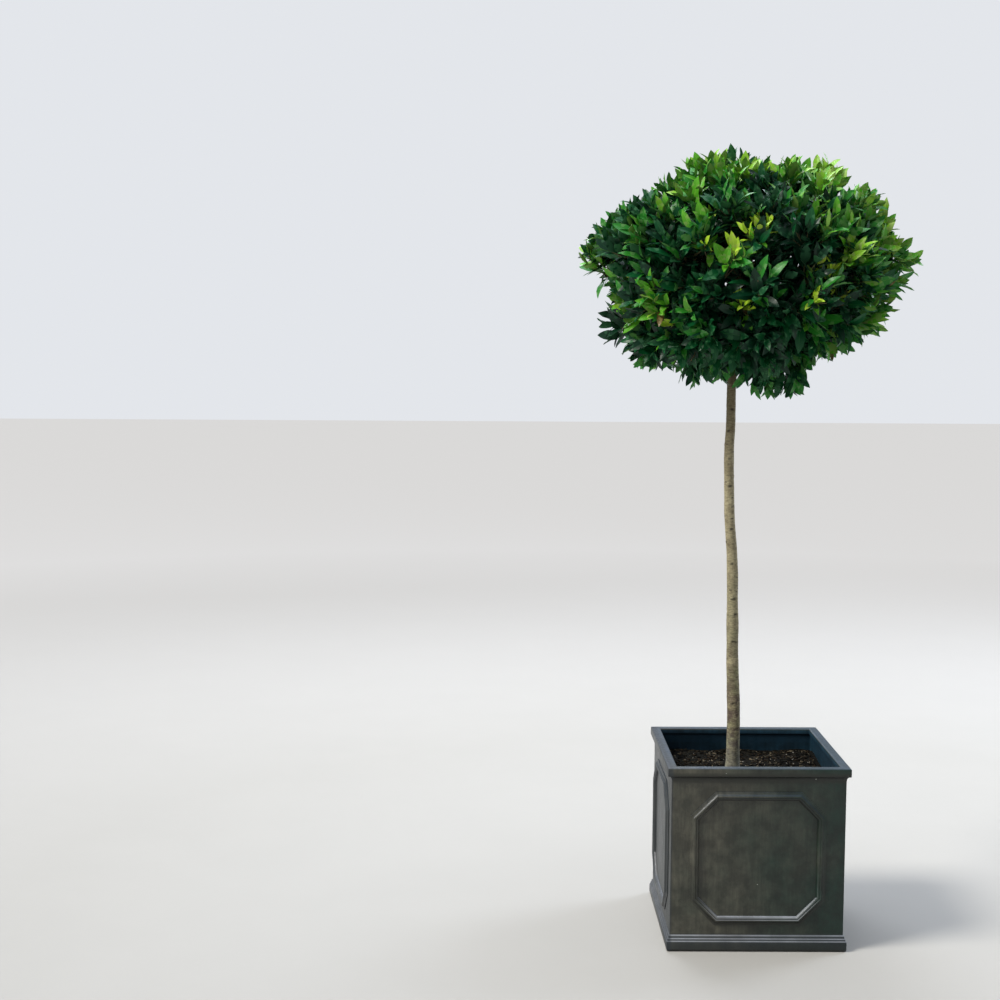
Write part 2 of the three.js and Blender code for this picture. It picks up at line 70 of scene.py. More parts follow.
lens = bpy.data.cameras.new("camera")
lens.sensor_width = SENSOR_WIDTH
lens.lens = FOCAL_LENGTH / PICTURE_WIDTH * SENSOR_WIDTH
camera = bpy.data.objects.new("camera", lens)
camera.matrix_world = (
    Matrix.Translation(CAMERA_PLACE)
    @ Matrix.Rotation(CAMERA_YAW, 4, "Z")
    @ Matrix.Rotation(math.pi / 2 - CAMERA_PITCH, 4, "X")
    @ Matrix.Rotation(CAMERA_ROLL, 4, "Z")
)
bpy.context.scene.collection.objects.link(camera)
bpy.context.scene.camera = camera
bpy.context.scene.view_settings.view_transform = "Standard"
print("lens:", round(lens.lens, 2), "mm")

# %% [markdown]
# ## Materials in plain words
# Each finish is one Principled BSDF. Colours are written as a painter would pick them from a screen, and
# `colour` turns them into the linear values that Blender adds light with. Effects that several finishes
# share are node groups with named inputs, so each finish places the group and sets its own values.


# %% Colours, nodes and materials
def colour(code):
    """A colour such as "#33403a" as linear red, green, blue and alpha."""
    parts = [int(code[at:at + 2], 16) / 255 for at in (1, 3, 5)]
    linear = [part / 12.92 if part <= 0.04045 else ((part + 0.055) / 1.055) ** 2.4 for part in parts]
    return (*linear, 1.0)


def add_node(tree, kind, values=None, **settings):
    """A node with its settings, and with values on its input sockets."""
    node = tree.nodes.new(kind)
    for name, value in settings.items():
        setattr(node, name, value)
    for socket, value in (values or {}).items():
        node.inputs[socket].default_value = value
    return node


def new_material(name, roughness, base, shine=0.5):
    """A material with one Principled BSDF, and its node tree and shader. Full shine is 1."""
    material = bpy.data.materials.new(name)
    material.use_nodes = True
    tree = material.node_tree
    shader = tree.nodes["Principled BSDF"]
    shader.inputs["Base Color"].default_value = colour(base)
    shader.inputs["Roughness"].default_value = roughness
    shader.inputs["Specular IOR Level"].default_value = shine
    material.diffuse_color = colour(base)
    return material, tree, shader


# %% Links and node groups
def new_group(name, inputs, outputs):
    """An empty shader node group, with its own input and output nodes. Inputs and outputs map a socket's
    name to its kind, and an input may have a first value."""
    group = bpy.data.node_groups.new(name, "ShaderNodeTree")
    for socket_name, (kind, value) in inputs.items():
        socket = group.interface.new_socket(socket_name, in_out="INPUT", socket_type=kind)
        if value is not None:
            socket.default_value = value
    for socket_name, kind in outputs.items():
        group.interface.new_socket(socket_name, in_out="OUTPUT", socket_type=kind)
    return group, group.nodes.new("NodeGroupInput"), group.nodes.new("NodeGroupOutput")


def link(source, target):
    """Links two sockets of one node tree."""
    target.id_data.links.new(source, target)


def feed(socket, given):
    """Links what is given to the socket, or sets the socket's value to it."""
    if isinstance(given, bpy.types.NodeSocket):
        link(given, socket)
    else:
        socket.default_value = given


def place_group(tree, group, place, **values):
    """The group as one node of a material, with its place linked and its own values."""
    node = tree.nodes.new("ShaderNodeGroup")
    node.node_tree = group
    link(place, node.inputs["Place"])
    for socket, value in values.items():
        node.inputs[socket].default_value = value
    return node


def object_coordinates(tree, scale=(1, 1, 1)):
    """The place on the object, stretched by a Mapping node."""
    place = tree.nodes.new("ShaderNodeTexCoord")
    mapping = add_node(tree, "ShaderNodeMapping", {"Scale": scale})
    link(place.outputs["Object"], mapping.inputs["Vector"])
    return mapping.outputs["Vector"]


def tell_nodes(name, tree):
    print(f"{name}: {len(tree.nodes)} nodes")


# %% [markdown]
# The next four give the result of one node each. Where they take a number or a colour, they also take a
# socket, which is then linked.


# %% Mixing, calculating and noise
def mix_colour(tree, share, first, second, blend_type="MIX"):
    """Two colours, mixed or multiplied by a share."""
    node = add_node(tree, "ShaderNodeMix", data_type="RGBA", blend_type=blend_type)
    for socket, given in ((node.inputs[0], share), (node.inputs[6], first), (node.inputs[7], second)):
        feed(socket, given)
    return node.outputs[2]


def calculate(tree, operation, first, second, clamped=False):
    """Two numbers put together by a Math node."""
    node = add_node(tree, "ShaderNodeMath", operation=operation, use_clamp=clamped)
    feed(node.inputs[0], first)
    feed(node.inputs[1], second)
    return node.outputs[0]


def ramp(tree, value, start, end, low=0.0, high=1.0, clamped=True):
    """A number that goes from `low` to `high` while the value goes from `start` to `end`."""
    node = add_node(tree, "ShaderNodeMapRange", clamp=clamped)
    ends = {"Value": value, "From Min": start, "From Max": end, "To Min": low, "To Max": high}
    for socket, given in ends.items():
        feed(node.inputs[socket], given)
    return node.outputs[0]


def soft_noise(tree, place, scale, detail, roughness=0.5):
    """Soft noise at a place, about 0.5 on the whole."""
    node = add_node(tree, "ShaderNodeTexNoise", {"Detail": detail, "Roughness": roughness})
    link(place, node.inputs["Vector"])
    feed(node.inputs["Scale"], scale)
    return node.outputs["Fac"]


# %% [markdown]
# ## Shared effects
# *Cloudy tone* mixes two colours by a large soft noise, as on aged metal, compost or bark. *Upward patina
# and painted light* gives a mask of what faces the sky, where dust and weather make a dark finish paler and
# painted sky light pales it further, and one of what faces the ground, which gets painted shade. *Specks*
# scatters small spots. *Relief* turns fine noise into a normal, so that light breaks up on it.

# %% Cloudy tone
FLOAT = "NodeSocketFloat"
COLOUR = "NodeSocketColor"
VECTOR = "NodeSocketVector"

cloudy_tone, entry, leave = new_group(
    "Cloudy tone",
    {"Place": (VECTOR, None), "Scale": (FLOAT, 8.0), "Contrast": (FLOAT, 1.0),
     "First": (COLOUR, None), "Second": (COLOUR, None)},
    {"Color": COLOUR, "Mask": FLOAT},
)
clouds = soft_noise(cloudy_tone, entry.outputs["Place"], entry.outputs["Scale"], detail=6.0,
                    roughness=0.6)
centred = calculate(cloudy_tone, "SUBTRACT", clouds, 0.5)
spread = calculate(cloudy_tone, "MULTIPLY", centred, entry.outputs["Contrast"])
lifted = calculate(cloudy_tone, "ADD", spread, 0.5, clamped=True)
mixed = mix_colour(cloudy_tone, lifted, entry.outputs["First"], entry.outputs["Second"])
link(mixed, leave.inputs["Color"])
link(lifted, leave.inputs["Mask"])
tell_nodes("cloudy tone", cloudy_tone)

# %% Upward patina
LIGHT_PATCH, FULL_PATCH = 0.3, 0.7       # the noise where a patch is thinnest and where it is full
DOWN_FROM, DOWN_TO = -0.04, -0.4         # the normal's Z where a face starts to look down

# One group gives both masks: patina with painted sky light on what faces the sky, and painted shade on what
# faces the ground.
patina_and_painted_light, entry, leave = new_group(
    "Upward patina and painted light",
    {"Place": (VECTOR, None), "Steepest": (FLOAT, 0.35), "Patchiness": (FLOAT, 0.5)},
    {"Mask": FLOAT, "Painted shade": FLOAT},
)
surface = patina_and_painted_light.nodes.new("ShaderNodeNewGeometry")
axes = patina_and_painted_light.nodes.new("ShaderNodeSeparateXYZ")
link(surface.outputs["Normal"], axes.inputs[0])
facing = ramp(patina_and_painted_light, axes.outputs["Z"], entry.outputs["Steepest"], 1.0)
patches = soft_noise(patina_and_painted_light, entry.outputs["Place"], 22.0, detail=4.0)
kept = calculate(patina_and_painted_light, "SUBTRACT", 1.0, entry.outputs["Patchiness"])
thinned = ramp(patina_and_painted_light, patches, LIGHT_PATCH, FULL_PATCH, kept, 1.0)
link(calculate(patina_and_painted_light, "MULTIPLY", facing, thinned), leave.inputs["Mask"])
# What faces the ground: the mask for painted shade.
link(ramp(patina_and_painted_light, axes.outputs["Z"], DOWN_FROM, DOWN_TO), leave.inputs["Painted shade"])
tell_nodes("upward patina and painted light", patina_and_painted_light)

# %% Specks
specks, entry, leave = new_group(
    "Specks",
    {"Place": (VECTOR, None), "Scale": (FLOAT, 60.0), "Size": (FLOAT, 0.1), "Share": (FLOAT, 0.3)},
    {"Mask": FLOAT},
)
cells = add_node(specks, "ShaderNodeTexVoronoi", {"Randomness": 1.0})
dealt = specks.nodes.new("ShaderNodeSeparateColor")
link(entry.outputs["Place"], cells.inputs["Vector"])
link(entry.outputs["Scale"], cells.inputs["Scale"])
link(cells.outputs["Color"], dealt.inputs[0])
near = calculate(specks, "LESS_THAN", cells.outputs["Distance"], entry.outputs["Size"])
chosen = calculate(specks, "LESS_THAN", dealt.outputs["Red"], entry.outputs["Share"])
link(calculate(specks, "MULTIPLY", near, chosen), leave.inputs["Mask"])
tell_nodes("specks", specks)

# %% Relief
relief, entry, leave = new_group(
    "Relief",
    {"Place": (VECTOR, None), "Scale": (FLOAT, 200.0), "Depth": (FLOAT, 0.0005)},
    {"Normal": VECTOR},
)
grain = soft_noise(relief, entry.outputs["Place"], entry.outputs["Scale"], detail=5.0, roughness=0.65)
bump = add_node(relief, "ShaderNodeBump", {"Strength": 1.0})
link(entry.outputs["Depth"], bump.inputs["Distance"])
link(grain, bump.inputs["Height"])
link(bump.outputs["Normal"], leave.inputs["Normal"])
tell_nodes("relief", relief)

# %% [markdown]
# ## Modelling helpers
# Pieces are modelled as by hand: an operator acts on what is selected, so each piece starts with nothing
# selected, or with one piece alone. A finished piece keeps its place in its mesh, with the object itself at
# the origin.


# %% Selecting, editing and finishing
def deselect_everything():
    bpy.ops.object.select_all(action="DESELECT")
    bpy.context.view_layer.objects.active = None


def name_piece(name):
    """Names the active object and its mesh."""
    piece = bpy.context.object
    piece.name = name
    piece.data.name = name
    return piece


def select_only(piece):
    deselect_everything()
    piece.select_set(True)
    bpy.context.view_layer.objects.active = piece


def start_editing(piece):
    select_only(piece)
    bpy.ops.object.mode_set(mode="EDIT")


def stop_editing():
    bpy.ops.object.mode_set(mode="OBJECT")


def place_in_mesh(piece):
    """Moves the object's place and turn into its mesh."""
    select_only(piece)
    bpy.ops.object.transform_apply(location=True, rotation=True, scale=True)


def apply_modifier(piece, kind, **settings):
    select_only(piece)
    modifier = piece.modifiers.new(kind.lower(), kind)
    for name, value in settings.items():
        setattr(modifier, name, value)
    bpy.ops.object.modifier_apply(modifier=modifier.name)


def smooth_by_angle(piece, degrees):
    select_only(piece)
    bpy.ops.object.shade_smooth_by_angle(angle=math.radians(degrees))


def give_material(piece, material):
    piece.data.materials.clear()
    piece.data.materials.append(material)


def settle(piece, slot, *nodes):
    """The piece rides on the plant's one body and stands for some CAD nodes, which it hides. The slot is not
    used.
    """
    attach(piece, "root")
    if nodes:
        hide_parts(*nodes)
    triangles = sum(len(face.vertices) - 2 for face in piece.data.polygons)
    size = ", ".join(f"{side * 1000:.0f}" for side in piece.dimensions)
    print(f"{piece.name}: {triangles} triangles, {size} mm")


# %% [markdown]
# ## Floor and light
# The studio is a plain pale floor under an even pale sky. In the photograph soft daylight falls from high
# on the left, so a wide sun stands there, which lights the floor evenly as well. A wide light overhead adds
# to what faces the sky, and weaker ones fill the right and the back. The sky lights the plant less than it
# shows in the picture: that keeps the hollows between the leaves dark. The floor pales with the distance, so
# that the trunk stands against a light ground.

# %% The floor
FLOOR_SIZE = 60
PALING_FROM, PALING_TO = 2.0, 8.0        # metres from the planter

deselect_everything()
bpy.ops.mesh.primitive_plane_add(size=FLOOR_SIZE, location=(0, 0, 0))
floor = name_piece("floor")
floor_finish, tree, shader = new_material("pale floor", 0.9, "#aeada9")
here = object_coordinates(tree)
floor_tone = place_group(tree, cloudy_tone, here, Scale=3.0, Contrast=0.8,
                         First=colour("#abaaa6"), Second=colour("#b1b0ac"))
distance = add_node(tree, "ShaderNodeVectorMath", operation="LENGTH")
link(here, distance.inputs[0])
paling = ramp(tree, distance.outputs["Value"], PALING_FROM, PALING_TO)
link(mix_colour(tree, paling, floor_tone.outputs["Color"], colour("#d3d4d6")), shader.inputs["Base Color"])
give_material(floor, floor_finish)
print("floor:", FLOOR_SIZE, "m wide")

# %% The sky
SKY_LIGHT, SKY_SHOWN = 0.40, 0.90

world = bpy.data.worlds.new("pale sky")
world.use_nodes = True
sky = world.node_tree
ray = sky.nodes.new("ShaderNodeLightPath")
strength = ramp(sky, ray.outputs["Is Camera Ray"], 0.0, 1.0, SKY_LIGHT, SKY_SHOWN)
background = sky.nodes["Background"]
link(strength, background.inputs["Strength"])
background.inputs["Color"].default_value = colour("#eef1f6")
bpy.context.scene.world = world
print("sky:", SKY_LIGHT, "as light,", SKY_SHOWN, "as shown")

# %% The lights
SUN_WIDTH = math.radians(20)
LIGHTS = {
    # name: kind, place, where it points, size, strength, colour
    "key": ("SUN", (-4.6, -1.7, 6.0), (0, 0, 1.3), SUN_WIDTH, 3.4, "#fffaf2"),
    "overhead": ("AREA", (-0.3, 0.4, 4.8), (0, 0, 1.0), 3.2, 90, "#e6efff"),
    "fill": ("AREA", (4.0, 2.4, 3.4), (0, 0, 1.6), 2.4, 150, "#e8f0ff"),
    "back": ("AREA", (-1.0, 3.2, 3.9), (0, 0, 1.6), 2.6, 100, "#f2f6ff"),
}

for name, (kind, place, target, size, power, tint) in LIGHTS.items():
    glow = bpy.data.lights.new(name, kind)
    if kind == "SUN":
        glow.angle = size
    else:
        glow.shape = "DISK"
        glow.size = size
    glow.energy = power
    glow.color = colour(tint)[:3]
    light = bpy.data.objects.new(name, glow)
    aim = (Vector(target) - Vector(place)).to_track_quat("-Z", "Y")
    light.matrix_world = Matrix.Translation(place) @ aim.to_matrix().to_4x4()
    bpy.context.scene.collection.objects.link(light)
print("lights:", ", ".join(LIGHTS))

# %% [markdown]
# ## Planter
# A planter of this kind is moulded in glass fibre with lead powder in its skin, so every edge is softly
# rounded and the rim is rolled inwards. Its section is the same on all four sides. It could be lofted, or
# cut from a block, but a square that is extruded and widened step by step up the section, as a potter
# raises a pot, gives the mitred corners by itself. A small bevel then rounds every edge.


# %% The section: half-width and height of each step
def half_width_and_top(node):
    """A node's half-width and its top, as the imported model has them, to a tenth of a millimetre."""
    _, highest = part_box(node)
    return round(highest[0], 4), round(highest[2], 4)


RIM_HALF, RIM_HEIGHT = half_width_and_top("planter")
RIM_BAND, RIM_TOP, RIM_LIP = 0.0205, 0.024, 0.014          # the band's height, the top's width, the lip
RIM_ROUND, RIM_CORNER = 0.003, 0.0009                      # an edge's rounding, and its middle's distance in
BODY_HALF, WALL, FLOOR_THICKNESS = 0.215, 0.010, 0.014
PLINTH_HALF, PLINTH_HEIGHT = 0.223, 0.041
# The plinth's steps from the foot up: how far in from its edge, and how high.
PLINTH_STEPS = [(0.005, 0), (0.0015, 0.0015), (0, 0.005), (0, 0.0255), (0.0022, 0.027), (0.0026, 0.0315),
                (0.0048, 0.033), (0.0052, 0.0385)]
HOLLOW_HEIGHT, HOLLOW_DEPTH, HOLLOW_STEPS = 0.013, 0.008, 7
BAND_LOW = RIM_HEIGHT - RIM_BAND
HOLLOW_LOW = BAND_LOW - HOLLOW_HEIGHT - 0.001              # a small step is left under the band
INNER_HALF = BODY_HALF - WALL
RIM_INNER = RIM_HALF - RIM_TOP


def hollow_moulding():
    """A quarter of an ellipse that curves out from the wall to the rim's band."""
    for step in range(HOLLOW_STEPS + 1):
        angle = step / HOLLOW_STEPS * math.pi / 2
        half = BODY_HALF + HOLLOW_DEPTH * (1 - math.cos(angle))
        yield (half, HOLLOW_LOW + HOLLOW_HEIGHT * math.sin(angle))


planter_section = [
    *[(PLINTH_HALF - inwards, height) for inwards, height in PLINTH_STEPS],
    (BODY_HALF, PLINTH_HEIGHT),
    *hollow_moulding(),
    (RIM_HALF, BAND_LOW),
    (RIM_HALF, RIM_HEIGHT - RIM_ROUND),
    (RIM_HALF - RIM_CORNER, RIM_HEIGHT - RIM_CORNER),
    (RIM_HALF - RIM_ROUND, RIM_HEIGHT),
    (RIM_INNER + RIM_ROUND, RIM_HEIGHT),
    (RIM_INNER + RIM_CORNER, RIM_HEIGHT - RIM_CORNER),
    (RIM_INNER, RIM_HEIGHT - RIM_ROUND),
    (RIM_INNER, RIM_HEIGHT - RIM_LIP),
    (INNER_HALF, RIM_HEIGHT - RIM_LIP - RIM_ROUND),
    (INNER_HALF, FLOOR_THICKNESS),
]
print("planter section:", len(planter_section), "steps")

# %% The shell
EDGE_ROUNDING = 0.0008

half, height = planter_section[0]
deselect_everything()
bpy.ops.mesh.primitive_plane_add(size=2 * half, location=(0, 0, height))
planter_shell = name_piece("planter_shell")
start_editing(planter_shell)
bpy.ops.mesh.select_all(action="SELECT")
for next_half, next_height in planter_section[1:]:
    bpy.ops.mesh.extrude_region_move(TRANSFORM_OT_translate={"value": (0, 0, next_height - height)})
    widen = next_half / half
    bpy.ops.transform.resize(value=(widen, widen, 1), center_override=(0, 0, next_height))
    half, height = next_half, next_height
bpy.ops.mesh.select_all(action="SELECT")
bpy.ops.mesh.normals_make_consistent(inside=False)
stop_editing()
place_in_mesh(planter_shell)
apply_modifier(planter_shell, "BEVEL", width=EDGE_ROUNDING, segments=2, limit_method="ANGLE",
               angle_limit=math.radians(20))
smooth_by_angle(planter_shell, 35)
print("planter is", [round(side * 1000) for side in planter_shell.dimensions], "mm")

# %% [markdown]
# Each face of the planter carries a raised octagonal moulding: a small step, a hollow that climbs to a
# bead, and a rounded fall on the inner side. A square gets its corners cut back by a bevel of its vertices.
# It is then inset again and again, each time a little deeper or higher, and so draws the moulding's section
# all round at once. It is made once, and turned copies go on each face.

# %% The front moulding
MOULDING_HALF, MOULDING_LOW = 0.1675, 0.0675
MOULDING_CORNER, MOULDING_SUNK = 0.061, 0.004
# From the outer edge inwards: how far in, and how high off the wall, in millimetres.
MOULDING_SECTION = [
    (0, 2.0), (1.5, 2.6), (3.5, 3.2), (6.0, 4.6), (8.0, 6.8), (9.0, 8.0), (10.3, 8.6), (12.4, 8.6),
    (13.5, 7.9), (14.3, 7.0), (15.2, 7.7), (17.2, 7.2), (19.6, 5.0), (21.2, 2.2), (22.0, -2.0),
]

deselect_everything()
bpy.ops.mesh.primitive_plane_add(size=2 * MOULDING_HALF, location=(0, 0, 0))
moulding = name_piece("moulding_front")
start_editing(moulding)
bpy.ops.mesh.select_all(action="SELECT")
bpy.ops.mesh.bevel(offset=MOULDING_CORNER, offset_type="OFFSET", affect="VERTICES")
bpy.ops.mesh.select_all(action="SELECT")
first_height = MOULDING_SUNK + MOULDING_SECTION[0][1] / 1000
bpy.ops.mesh.extrude_region_move(TRANSFORM_OT_translate={"value": (0, 0, first_height)})
for (place, height), (next_place, next_height) in zip(MOULDING_SECTION, MOULDING_SECTION[1:]):
    bpy.ops.mesh.inset(thickness=(next_place - place) / 1000, depth=(next_height - height) / 1000)
bpy.ops.mesh.select_all(action="SELECT")
bpy.ops.mesh.normals_make_consistent(inside=False)
stop_editing()
moulding.rotation_euler = (math.pi / 2, 0, 0)
moulding.location = (0, -BODY_HALF + MOULDING_SUNK, MOULDING_LOW + MOULDING_HALF)
place_in_mesh(moulding)
smooth_by_angle(moulding, 32)
print("a moulding is", [round(side * 1000) for side in moulding.dimensions], "mm")

# %% The mouldings of the other faces
OTHER_FACES = ["right", "back", "left"]

mouldings = [moulding]
for turn, face_name in enumerate(OTHER_FACES, start=1):
    select_only(moulding)
    bpy.ops.object.duplicate(linked=False)
    copy = name_piece(f"moulding_{face_name}")
    copy.rotation_euler = (0, 0, turn * math.pi / 2)
    place_in_mesh(copy)
    mouldings.append(copy)
print("mouldings:", [piece.name for piece in mouldings])

# %% [markdown]
# The lead finish is a dark grey that drifts from brown on one side to green on the other. It was brushed
# on, so fine marks run up and down it, with some scuffs. What faces the sky is paler, partly weathered
# patina and partly painted sky light, to a dull blue on the rim and almost white at the foot, and what faces
# the ground is painted shade, nearly black. The foot is bluish, the left side is painted darker and bluer as
# painted shade, the lower part of the rim's band is olive, and a few white specks sit here and there. The
# inside is painted shade: a darker, bluer copy of the finish. One pattern in Object coordinates covers shell
# and mouldings alike.

# %% The drift and the stained bands of the lead
DRIFT_FROM, DRIFT_TO = -0.16, 0.21                  # across the planter, from brown to green
DRIFT_SWING = 0.9                                   # how far the clouds shift it


def drift_share(tree, place, across):
    """How green the finish is: more towards +X, and cloudy."""
    even = ramp(tree, across, DRIFT_FROM, DRIFT_TO, clamped=False)
    clouds = soft_noise(tree, place, 7.0, detail=5.0, roughness=0.6)
    swing = ramp(tree, clouds, 0.0, 1.0, -DRIFT_SWING, DRIFT_SWING, clamped=False)
    return calculate(tree, "ADD", even, swing, clamped=True)


def band(tree, height, low, high, fade, share):
    """A mask that is `share` between two heights and fades out past them."""
    rising = ramp(tree, height, low - fade, low, high=share)
    falling = ramp(tree, height, high + fade, high)
    return calculate(tree, "MULTIPLY", rising, falling)


# %% The lead finish
UNDERGROUND = -1.0                                  # a height below all that shows
FOOT_TOP, FOOT_FADE = PLINTH_HEIGHT - 0.004, 0.010
STAINED_BAND, STAIN_FADE = (0.428, 0.447), 0.006    # the heights of the stain under the rim's band
PATINA_AND_LIGHT_FOOT, PATINA_AND_LIGHT_FADE = 0.09, 0.25               # where the foot's pale patina and painted sky light start to turn into the rim's
SIDE_DEPTH = 0.006                                  # how far in from the left face its painted shade fades
# The foot's stain, the painted shade on what faces the ground, and the painted shade on the left face.
FOOT_STAIN, UNDER_PAINTED_SHADE, LEFT_SIDE_PAINTED_SHADE = "#1b2429", "#0b0f0d", "#1f272e"
# The near-white at the foot is patina and painted sky light.
FOOT_PATINA_AND_SKY_LIGHT, SPECK_WHITE = "#a5abb6", "#b9bcb4"


def lead_finish(name, first, second, rim_stain, patina_and_sky_light, roughness, patina_and_sky_light_share, speck_share):
    """An imitation lead: two drifting tones, brushed marks, scuffs, stains, patina and painted sky light on
    top, painted shade underneath and on the left face, and specks.
    """
    material, tree, shader = new_material(name, roughness, first)
    here = object_coordinates(tree)
    brushed = object_coordinates(tree, (1.0, 1.0, 0.12))
    axes = tree.nodes.new("ShaderNodeSeparateXYZ")
    link(here, axes.inputs[0])
    height = axes.outputs["Z"]
    marks = place_group(tree, cloudy_tone, brushed, Scale=130.0, Contrast=2.4,
                        First=colour("#a3a7a5"), Second=colour("#ffffff"))
    scuffs = place_group(tree, cloudy_tone, here, Scale=24.0, Contrast=4.5,
                         First=colour("#9fa2a0"), Second=colour("#ffffff"))
    weather_and_painted_light = place_group(tree, patina_and_painted_light, here, Steepest=0.15, Patchiness=0.45)
    spots = place_group(tree, specks, here, Scale=36.0, Size=0.05, Share=speck_share)
    bumps = place_group(tree, relief, here, Scale=160.0, Depth=0.0006)
    tone = mix_colour(tree, drift_share(tree, here, axes.outputs["X"]), colour(first), colour(second))
    tone = mix_colour(tree, 0.75, tone, marks.outputs["Color"], "MULTIPLY")
    tone = mix_colour(tree, 0.75, tone, scuffs.outputs["Color"], "MULTIPLY")
    foot = band(tree, height, UNDERGROUND, FOOT_TOP, FOOT_FADE, 0.7)
    tone = mix_colour(tree, foot, tone, colour(FOOT_STAIN))
    tone = mix_colour(tree, band(tree, height, *STAINED_BAND, STAIN_FADE, 0.6), tone, colour(rim_stain))
    # What faces the ground gets painted shade, nearly black.
    under = calculate(tree, "MULTIPLY", weather_and_painted_light.outputs["Painted shade"], 0.8)
    tone = mix_colour(tree, under, tone, colour(UNDER_PAINTED_SHADE))
    # What faces the sky gets patina and painted sky light: almost white at the foot, dull blue higher up.
    low_down = band(tree, height, UNDERGROUND, PATINA_AND_LIGHT_FOOT, PATINA_AND_LIGHT_FADE, 1.0)
    pale = mix_colour(tree, low_down, colour(patina_and_sky_light), colour(FOOT_PATINA_AND_SKY_LIGHT))
    tone = mix_colour(tree, calculate(tree, "MULTIPLY", weather_and_painted_light.outputs["Mask"], patina_and_sky_light_share), tone, pale)
    # The left face is painted darker and bluer: painted shade.
    left_side_shade = ramp(tree, axes.outputs["X"], -BODY_HALF + SIDE_DEPTH, -BODY_HALF, high=0.7)
    tone = mix_colour(tree, left_side_shade, tone, colour(LEFT_SIDE_PAINTED_SHADE))
    tone = mix_colour(tree, spots.outputs["Mask"], tone, colour(SPECK_WHITE))
    link(tone, shader.inputs["Base Color"])
    gloss = ramp(tree, marks.outputs["Mask"], 0.0, 1.0, roughness - 0.1, roughness + 0.12)
    link(gloss, shader.inputs["Roughness"])
    link(bumps.outputs["Normal"], shader.inputs["Normal"])
    return material


# The dull blue on what faces the sky is patina and painted sky light.
lead = lead_finish("imitation lead", "#515045", "#143127", "#22241a", "#384858", 0.42, 0.85, 0.02)
# Inside, a darker and bluer copy of the lead finish: painted shade with painted blue sky light.
inside_painted_shade = lead_finish("painted shade inside the planter", "#1d3f54", "#254c62", "#1d3f54", "#33444f",
                          0.45, 0.4, 0.0)
tell_nodes(lead.name, lead.node_tree)

# %% The finish on the planter
# The faces inside the planter, up to just under the rim, take the painted shade.
FACE_MARGIN, INSIDE_SHADE_TOP = 0.001, RIM_HEIGHT - 0.004

give_material(planter_shell, lead)
planter_shell.data.materials.append(inside_painted_shade)
for face in planter_shell.data.polygons:
    inside = max(abs(face.center.x), abs(face.center.y)) < INNER_HALF + FACE_MARGIN
    if inside and FLOOR_THICKNESS - FACE_MARGIN < face.center.z < INSIDE_SHADE_TOP:
        face.material_index = 1
for piece in mouldings:
    give_material(piece, lead)
    settle(piece, "planter")
settle(planter_shell, "planter", "planter")

# %% [markdown]
# ## Compost
# Dark compost fills the planter to six centimetres below the rim. It is uneven, with crumbs, bits of bark
# and a few pale flecks. The surface is a fine grid that follows the same height rule as the solid, made
# crumbly by a Displace modifier. The bits lie on it as one joined mesh, each an uneven wedge.

# %% The compost's surface
SOIL_LEVEL, SOIL_HALF, SOIL_BUMP = 0.404, 0.2047, 0.004
SOIL_FLAT_TO, SOIL_BUMPY_FROM = 0.080, 0.140
SOIL_CELLS, SOIL_SLAB = 110, 0.03
SOIL_WAVES, SOIL_PHASES, SOIL_CROSS_WAVE = (0.047, 0.039), (0.8, -0.4), 0.026
CRUMBS = [(0.03, 0.005), (0.009, 0.004)]          # how wide and how deep
TRUNK_FOOT = np.array([-0.034, 0.0, SOIL_LEVEL + 0.0003])


def smooth_step(value, low, high):
    share = min(max((value - low) / (high - low), 0), 1)
    return share * share * (3 - 2 * share)


def soil_height(x, y):
    """The source's rule: level where the trunk stands, and uneven elsewhere."""
    distance = math.hypot(x - TRUNK_FOOT[0], y - TRUNK_FOOT[1])
    uneven = math.sin(x / SOIL_WAVES[0] + SOIL_PHASES[0]) * math.cos(y / SOIL_WAVES[1] + SOIL_PHASES[1])
    uneven += 0.6 * math.sin((x + y) / SOIL_CROSS_WAVE)
    return SOIL_LEVEL + SOIL_BUMP * smooth_step(distance, SOIL_FLAT_TO, SOIL_BUMPY_FROM) * uneven


deselect_everything()
bpy.ops.mesh.primitive_grid_add(x_subdivisions=SOIL_CELLS, y_subdivisions=SOIL_CELLS, size=2 * SOIL_HALF,
                                location=(0, 0, 0))
compost = name_piece("compost")
for vertex in compost.data.vertices:
    vertex.co.z = soil_height(vertex.co.x, vertex.co.y)
for crumb_size, depth in CRUMBS:
    crumbs = bpy.data.textures.new("crumbs", "CLOUDS")
    crumbs.noise_scale = crumb_size
    crumbs.noise_depth = 3
    apply_modifier(compost, "DISPLACE", texture=crumbs, texture_coords="LOCAL", direction="Z",
                   strength=depth, mid_level=0.5)
start_editing(compost)
bpy.ops.mesh.select_all(action="SELECT")
bpy.ops.mesh.extrude_region_move(TRANSFORM_OT_translate={"value": (0, 0, -SOIL_SLAB)})
bpy.ops.mesh.select_all(action="SELECT")
bpy.ops.mesh.normals_make_consistent(inside=False)
stop_editing()
smooth_by_angle(compost, 50)
print("compost:", len(compost.data.vertices), "points")

# %% The compost's finish
COMPOST_SHINE = 0.05

compost_finish, tree, shader = new_material("crumbly compost", 0.95, "#12110f", COMPOST_SHINE)
here = object_coordinates(tree)
tone = place_group(tree, cloudy_tone, here, Scale=110.0, Contrast=4.0,
                   First=colour("#080908"), Second=colour("#1b1a16"))
flecks = place_group(tree, specks, here, Scale=300.0, Size=0.25, Share=0.08)
bumps = place_group(tree, relief, here, Scale=420.0, Depth=0.002)
tone = mix_colour(tree, flecks.outputs["Mask"], tone.outputs["Color"], colour("#55483c"))
link(tone, shader.inputs["Base Color"])
link(bumps.outputs["Normal"], shader.inputs["Normal"])
give_material(compost, compost_finish)
settle(compost, "compost", "soil")


